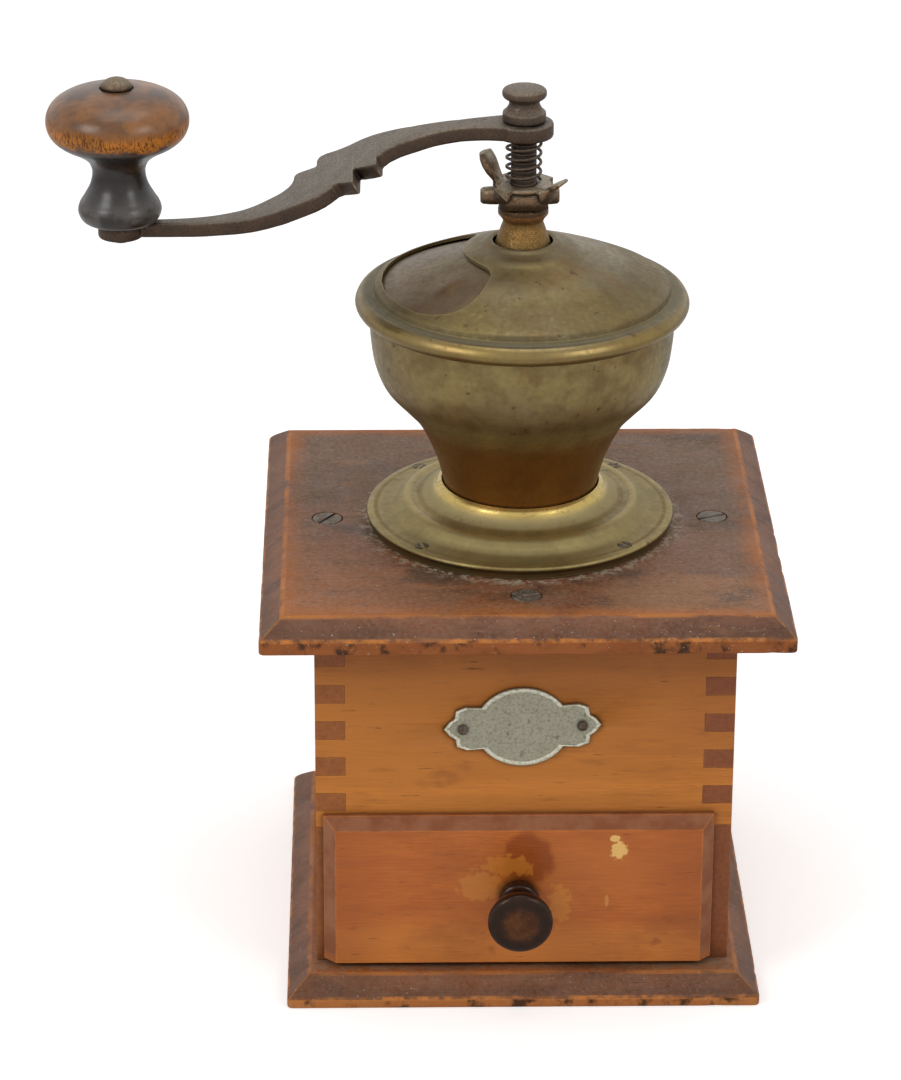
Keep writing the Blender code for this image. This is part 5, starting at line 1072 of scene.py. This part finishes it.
class MILL_OT_works(bpy.types.Operator):
    """Finishes the bearing neck, burrs, spindle, adjuster and spring"""
    bl_idname = "mill.works"
    bl_label = "Burrs and adjuster"

    def execute(self, context):
        """The spring is a circle carried along a helix: the centre climbs evenly as it turns, and the wire's
        section stands square to the helix. It rests on the lock plate and under the crank."""
        smooth_copy("bearing_bridge", "mill", "bearing_bronze", turned_bronze("bronze_cast_pitted"))
        iron = rusted_iron("iron_cast_brown", "#3E332B", "#4F3C2F", "#5E564D", 0.4)
        for node in ("burr_ring", "lower_bearing_bar"):
            smooth_copy(node, "mill", "dark_iron", iron)
        smooth_copy("burr_cone", "crank", "dark_iron", iron)
        smooth_copy("spindle", "crank", "dark_iron",
                    rusted_iron("iron_threaded_spindle", "#66554A", "#755A46", "#7D6F62", 0.4, 1.3 * MM))
        small = rusted_iron("iron_adjuster_rusty", "#6C5742", "#8A6440", "#9C8D73", 0.8, rubbed=0.95, rough=0.34)
        wire_iron = rusted_iron("iron_spring_wire", "#53443A", "#66503E", "#64584C", 0.35, rubbed=0.15)
        smooth_copy("adjusting_nut", "crank", "dark_iron", small)
        smooth_copy("lock_plate", "lock", "dark_iron", small)
        screws = dull_steel("steel_bearing_screw")
        for node in ("bridge_screw_left", "bridge_screw_right", "bar_screw_left", "bar_screw_right"):
            smooth_copy(node, "mill", "screw_steel", screws)
        low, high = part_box("lock_spring")
        wire, radius = SPRING_WIRE, SPRING_RADIUS
        t = np.linspace(0, 1, 260)
        angle = 2 * np.pi * SPRING_TURNS * t
        climb = high.z - low.z - 2 * wire
        middle = np.stack([radius * np.cos(angle), radius * np.sin(angle), low.z + wire + climb * t], 1)
        outward = np.stack([np.cos(angle), np.sin(angle), 0 * angle], 1)
        along = np.gradient(middle, axis=0)
        along /= np.linalg.norm(along, axis=1)[:, None]
        upward = np.cross(along, outward)
        around = np.linspace(0, 2 * np.pi, 14, endpoint=False)
        size = wire * np.sqrt(np.clip(np.minimum(t, 1 - t) / 0.004, 0, 1))[:, None, None]
        grid = middle[:, None] + size * (np.cos(around)[None, :, None] * outward[:, None]
                                         + np.sin(around)[None, :, None] * upward[:, None])
        mesh = closed_mesh("spring_coiled", [(grid, False, True)])
        spring = place_piece("spring_coiled", mesh, None, "dark_iron", wire_iron, "lock_spring")
        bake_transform(spring)
        return {"FINISHED"}


class MILL_OT_crank(bpy.types.Operator):
    """Adds the forged crank arm, its nut, the turned knob and its pin"""
    bl_idname = "mill.crank"
    bl_label = "Crank"

    def execute(self, context):
        """The arm is a rounded rectangle carried along the S-shaped top line: at each point its two sides
        stand out by the edge tables, and its corners follow a quarter circle. The eyes are turned."""
        settings = context.scene.mill_crank
        thick, corner = settings.thickness, settings.corner
        top = smooth_line(ARM_TOP, 10) * MM
        marks = [p[0] for p in ARM_BACK[1:-1] + ARM_FRONT[1:-1]]
        x = np.unique(np.concatenate([np.arange(-117.0, 2.0, 0.5), marks])) * MM
        z = np.interp(x, top[:, 0], top[:, 1])
        slope = np.gradient(z, x)
        slope = np.convolve(np.pad(slope, 4, "edge"), np.ones(9) / 9, "valid")
        normal = np.stack([-slope, np.ones_like(slope)], 1) / np.sqrt(1 + slope**2)[:, None]
        back = np.interp(x, *np.array(ARM_BACK).T * MM)
        front = np.interp(x, *np.array(ARM_FRONT).T * MM)
        quarter = np.linspace(0, np.pi / 2, 6)
        arcs = [quarter + k * np.pi / 2 for k in range(4)]
        signs = [(1, 1), (-1, 1), (-1, -1), (1, -1)]
        rows = []
        for arc, (side, face) in zip(arcs, signs):
            edge = back if side > 0 else -front
            y = (edge - side * corner)[:, None] + corner * np.cos(arc)[None]
            up = (thick / 2 * face - face * corner) + corner * np.sin(arc)[None] + 0 * y
            rows.append(np.stack([y, up], -1))
        section = np.concatenate(rows, 1)
        mid = np.stack([x, z], 1) - normal * thick / 2
        grid = np.stack([mid[:, None, 0] + section[..., 1] * normal[:, None, 0], section[..., 0],
                         mid[:, None, 1] + section[..., 1] * normal[:, None, 1]], -1)
        ends = [np.repeat(g.mean(0, keepdims=True), grid.shape[1], 0)[None] for g in (grid[0], grid[-1])]
        arm = np.concatenate([ends[0], grid, ends[1]])
        eye_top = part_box("crank_arm")[1].z
        end_top = z[0]
        knob_low, knob_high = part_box("crank_knob")
        far = (knob_low.x + knob_high.x) / 2
        soft = corner * 0.8

        def eye(radius, bore, upper, lower):
            return np.array([(bore, lower), (radius - soft, lower), (radius - 0.3 * soft, lower + 0.3 * soft),
                             (radius, lower + soft), (radius, upper - soft),
                             (radius - 0.3 * soft, upper - 0.3 * soft), (radius - soft, upper), (bore, upper)])
        hub = turned_grid(eye(8.35 * MM, 3.95 * MM, eye_top, eye_top - thick), 96)
        end = turned_grid(eye(6.4 * MM, 2.5 * MM, end_top, end_top - thick), 72, (far, 0))
        mesh = closed_mesh("crank_arm_forged", [(arm, False, True), (hub, True, True), (end, True, True)], 60.0)
        iron = rusted_iron("iron_forged_worn", "#46382D", "#5E4432", "#6B6256", 0.75, hub=9.5 * MM)
        place_piece("crank_arm_forged", mesh, "crank", "dark_iron", iron, "crank_arm")
        line = smooth_line(sized(FINIAL, "crank_nut"), 5)
        nut = turned_grid(np.vstack([[(0, line[0, 1])], line]), 96)
        mesh = closed_mesh("crank_nut_turned", [(nut, False, True)])
        place_piece("crank_nut_turned", mesh, "crank", "dark_iron",
                    rusted_iron("iron_turned_nut", "#524439", "#654D3B", "#776B5D", 0.6, rubbed=0.9), "crank_nut")
        line = smooth_line(sized(HANDLE, "crank_knob"), 8)
        line[:, 0] = np.minimum(line[:, 0], (knob_high.x - knob_low.x) / 2)
        dish = np.array([(4.9 * MM, line[-1, 1]), (4.9 * MM, line[-1, 1] - 0.6 * MM), (0, line[-1, 1] - 0.6 * MM)])
        grip = turned_grid(np.vstack([[(0, line[0, 1])], line, dish]), 144, (far, 0))
        mesh = closed_mesh("crank_grip", [(grip, False, True)])
        place_piece("crank_grip", mesh, "handle", "turned_handle_wood",
                    handle_wood("beech_turned_varnish_worn", (far, 0, 0)), "crank_knob")
        smooth_copy("crank_knob_pin", "crank", "dark_iron",
                    rusted_iron("iron_pin_head", "#5A4836", "#6B4E36", "#86775F", 0.6))
        return {"FINISHED"}


class MILL_OT_stage(bpy.types.Operator):
    """Sets the floor, the light and the camera"""
    bl_idname = "mill.stage"
    bl_label = "Stage"

    def execute(self, context):
        """The camera's place and turn were solved from the photograph of the mill: yaw, pitch and roll turn
        the forward axis, and the lens follows from its focal length in pixels."""
        settings = context.scene.mill_stage
        scene = context.scene
        scene.view_settings.view_transform = "Standard"
        world = bpy.data.worlds.new("daylight")
        world.use_nodes = True
        tree = world.node_tree
        tree.nodes.clear()
        path = add_node(tree, "LightPath").node
        seen = add_node(tree, "Math", {"operation": "MAXIMUM"}, {0: path.outputs["Is Camera Ray"],
                                                                  1: path.outputs["Is Glossy Ray"]})
        seen = add_node(tree, "Math", {"operation": "MAXIMUM"}, {0: seen, 1: path.outputs["Is Transmission Ray"]})
        strength = add_node(tree, "Mix", None, {0: seen, 2: settings.daylight, 3: 1.0})
        sky = add_node(tree, "Background", None, {0: (1, 1, 1, 1), 1: strength})
        output = tree.nodes.new("ShaderNodeOutputWorld")
        tree.links.new(sky, output.inputs["Surface"])
        scene.world = world
        side = 4.0
        u = np.linspace(-side, side, 9)
        flat = np.stack(np.meshgrid(u, u, indexing="ij") + [np.zeros((9, 9))], -1)
        mesh = closed_mesh("floor_pale", [(flat, False, False)])
        floor = bpy.data.objects.new("floor_pale", mesh)
        scene.collection.objects.link(floor)
        paper, tree, _ = start("paper_matte_white")
        path = add_node(tree, "LightPath").node
        lift = times(tree, path.outputs["Is Camera Ray"], 0.42)
        surface(paper, tree, (0.85, 0.85, 0.85, 1), 0.9, None, Emission_Color=(1, 1, 1, 1), Emission_Strength=lift)
        mesh.materials.append(paper)
        for name, at, size, power in LAMPS:
            lamp = bpy.data.lights.new(name, "AREA")
            lamp.size = size
            lamp.energy = power * settings.lamp
            holder = bpy.data.objects.new(name, lamp)
            holder.location = at
            aim = Vector((0, 0, 0.12)) - Vector(at)
            holder.rotation_euler = aim.to_track_quat("-Z", "Y").to_euler()
            scene.collection.objects.link(holder)
        yaw, pitch, roll = (math.radians(a) for a in CAMERA_TURN)
        ahead = Vector((math.sin(yaw) * math.cos(pitch), math.cos(yaw) * math.cos(pitch), -math.sin(pitch)))
        right = Vector((math.cos(yaw), -math.sin(yaw), 0))
        up = right.cross(ahead)
        level = math.cos(roll) * right + math.sin(roll) * up
        upright = -math.sin(roll) * right + math.cos(roll) * up
        turn = Matrix((level, upright, -ahead)).transposed().to_4x4()
        lens = bpy.data.cameras.new("camera")
        lens.sensor_width = SENSOR
        lens.lens = FOCAL_PIXELS / PHOTO_HEIGHT * SENSOR
        lens.clip_end = 20.0
        camera = bpy.data.objects.new("camera", lens)
        camera.matrix_world = Matrix.Translation(CAMERA_AT) @ turn
        scene.collection.objects.link(camera)
        scene.camera = camera
        return {"FINISHED"}


OPERATORS = [MILL_OT_stage, MILL_OT_box, MILL_OT_drawer, MILL_OT_plate, MILL_OT_brass, MILL_OT_works, MILL_OT_crank]
SETTINGS = [("mill_box", MillBoxSettings), ("mill_brass", MillBrassSettings), ("mill_crank", MillCrankSettings),
            ("mill_stage", MillStageSettings)]


class MILL_PT_sidebar(bpy.types.Panel):
    """Lists the mill's pieces and their settings"""
    bl_label = "Coffee mill"
    bl_idname = "MILL_PT_sidebar"
    bl_space_type = "VIEW_3D"
    bl_region_type = "UI"
    bl_category = "Coffee mill"

    def draw(self, context):
        for name, group in SETTINGS:
            box = self.layout.box()
            held = getattr(context.scene, name)
            for key in group.__annotations__:
                box.prop(held, key)
        for operator in OPERATORS:
            self.layout.operator(operator.bl_idname)


def register():
    for name, group in SETTINGS:
        bpy.utils.register_class(group)
        setattr(bpy.types.Scene, name, PointerProperty(type=group))
    for group in OPERATORS + [MILL_PT_sidebar]:
        bpy.utils.register_class(group)


def unregister():
    for group in reversed(OPERATORS + [MILL_PT_sidebar]):
        bpy.utils.unregister_class(group)
    for name, group in reversed(SETTINGS):
        delattr(bpy.types.Scene, name)
        bpy.utils.unregister_class(group)


def main():
    register()
    bpy.ops.mill.stage()
    bpy.ops.mill.box()
    bpy.ops.mill.drawer()
    bpy.ops.mill.plate()
    bpy.ops.mill.brass()
    bpy.ops.mill.works()
    bpy.ops.mill.crank()


if __name__ == "__main__":
    main()
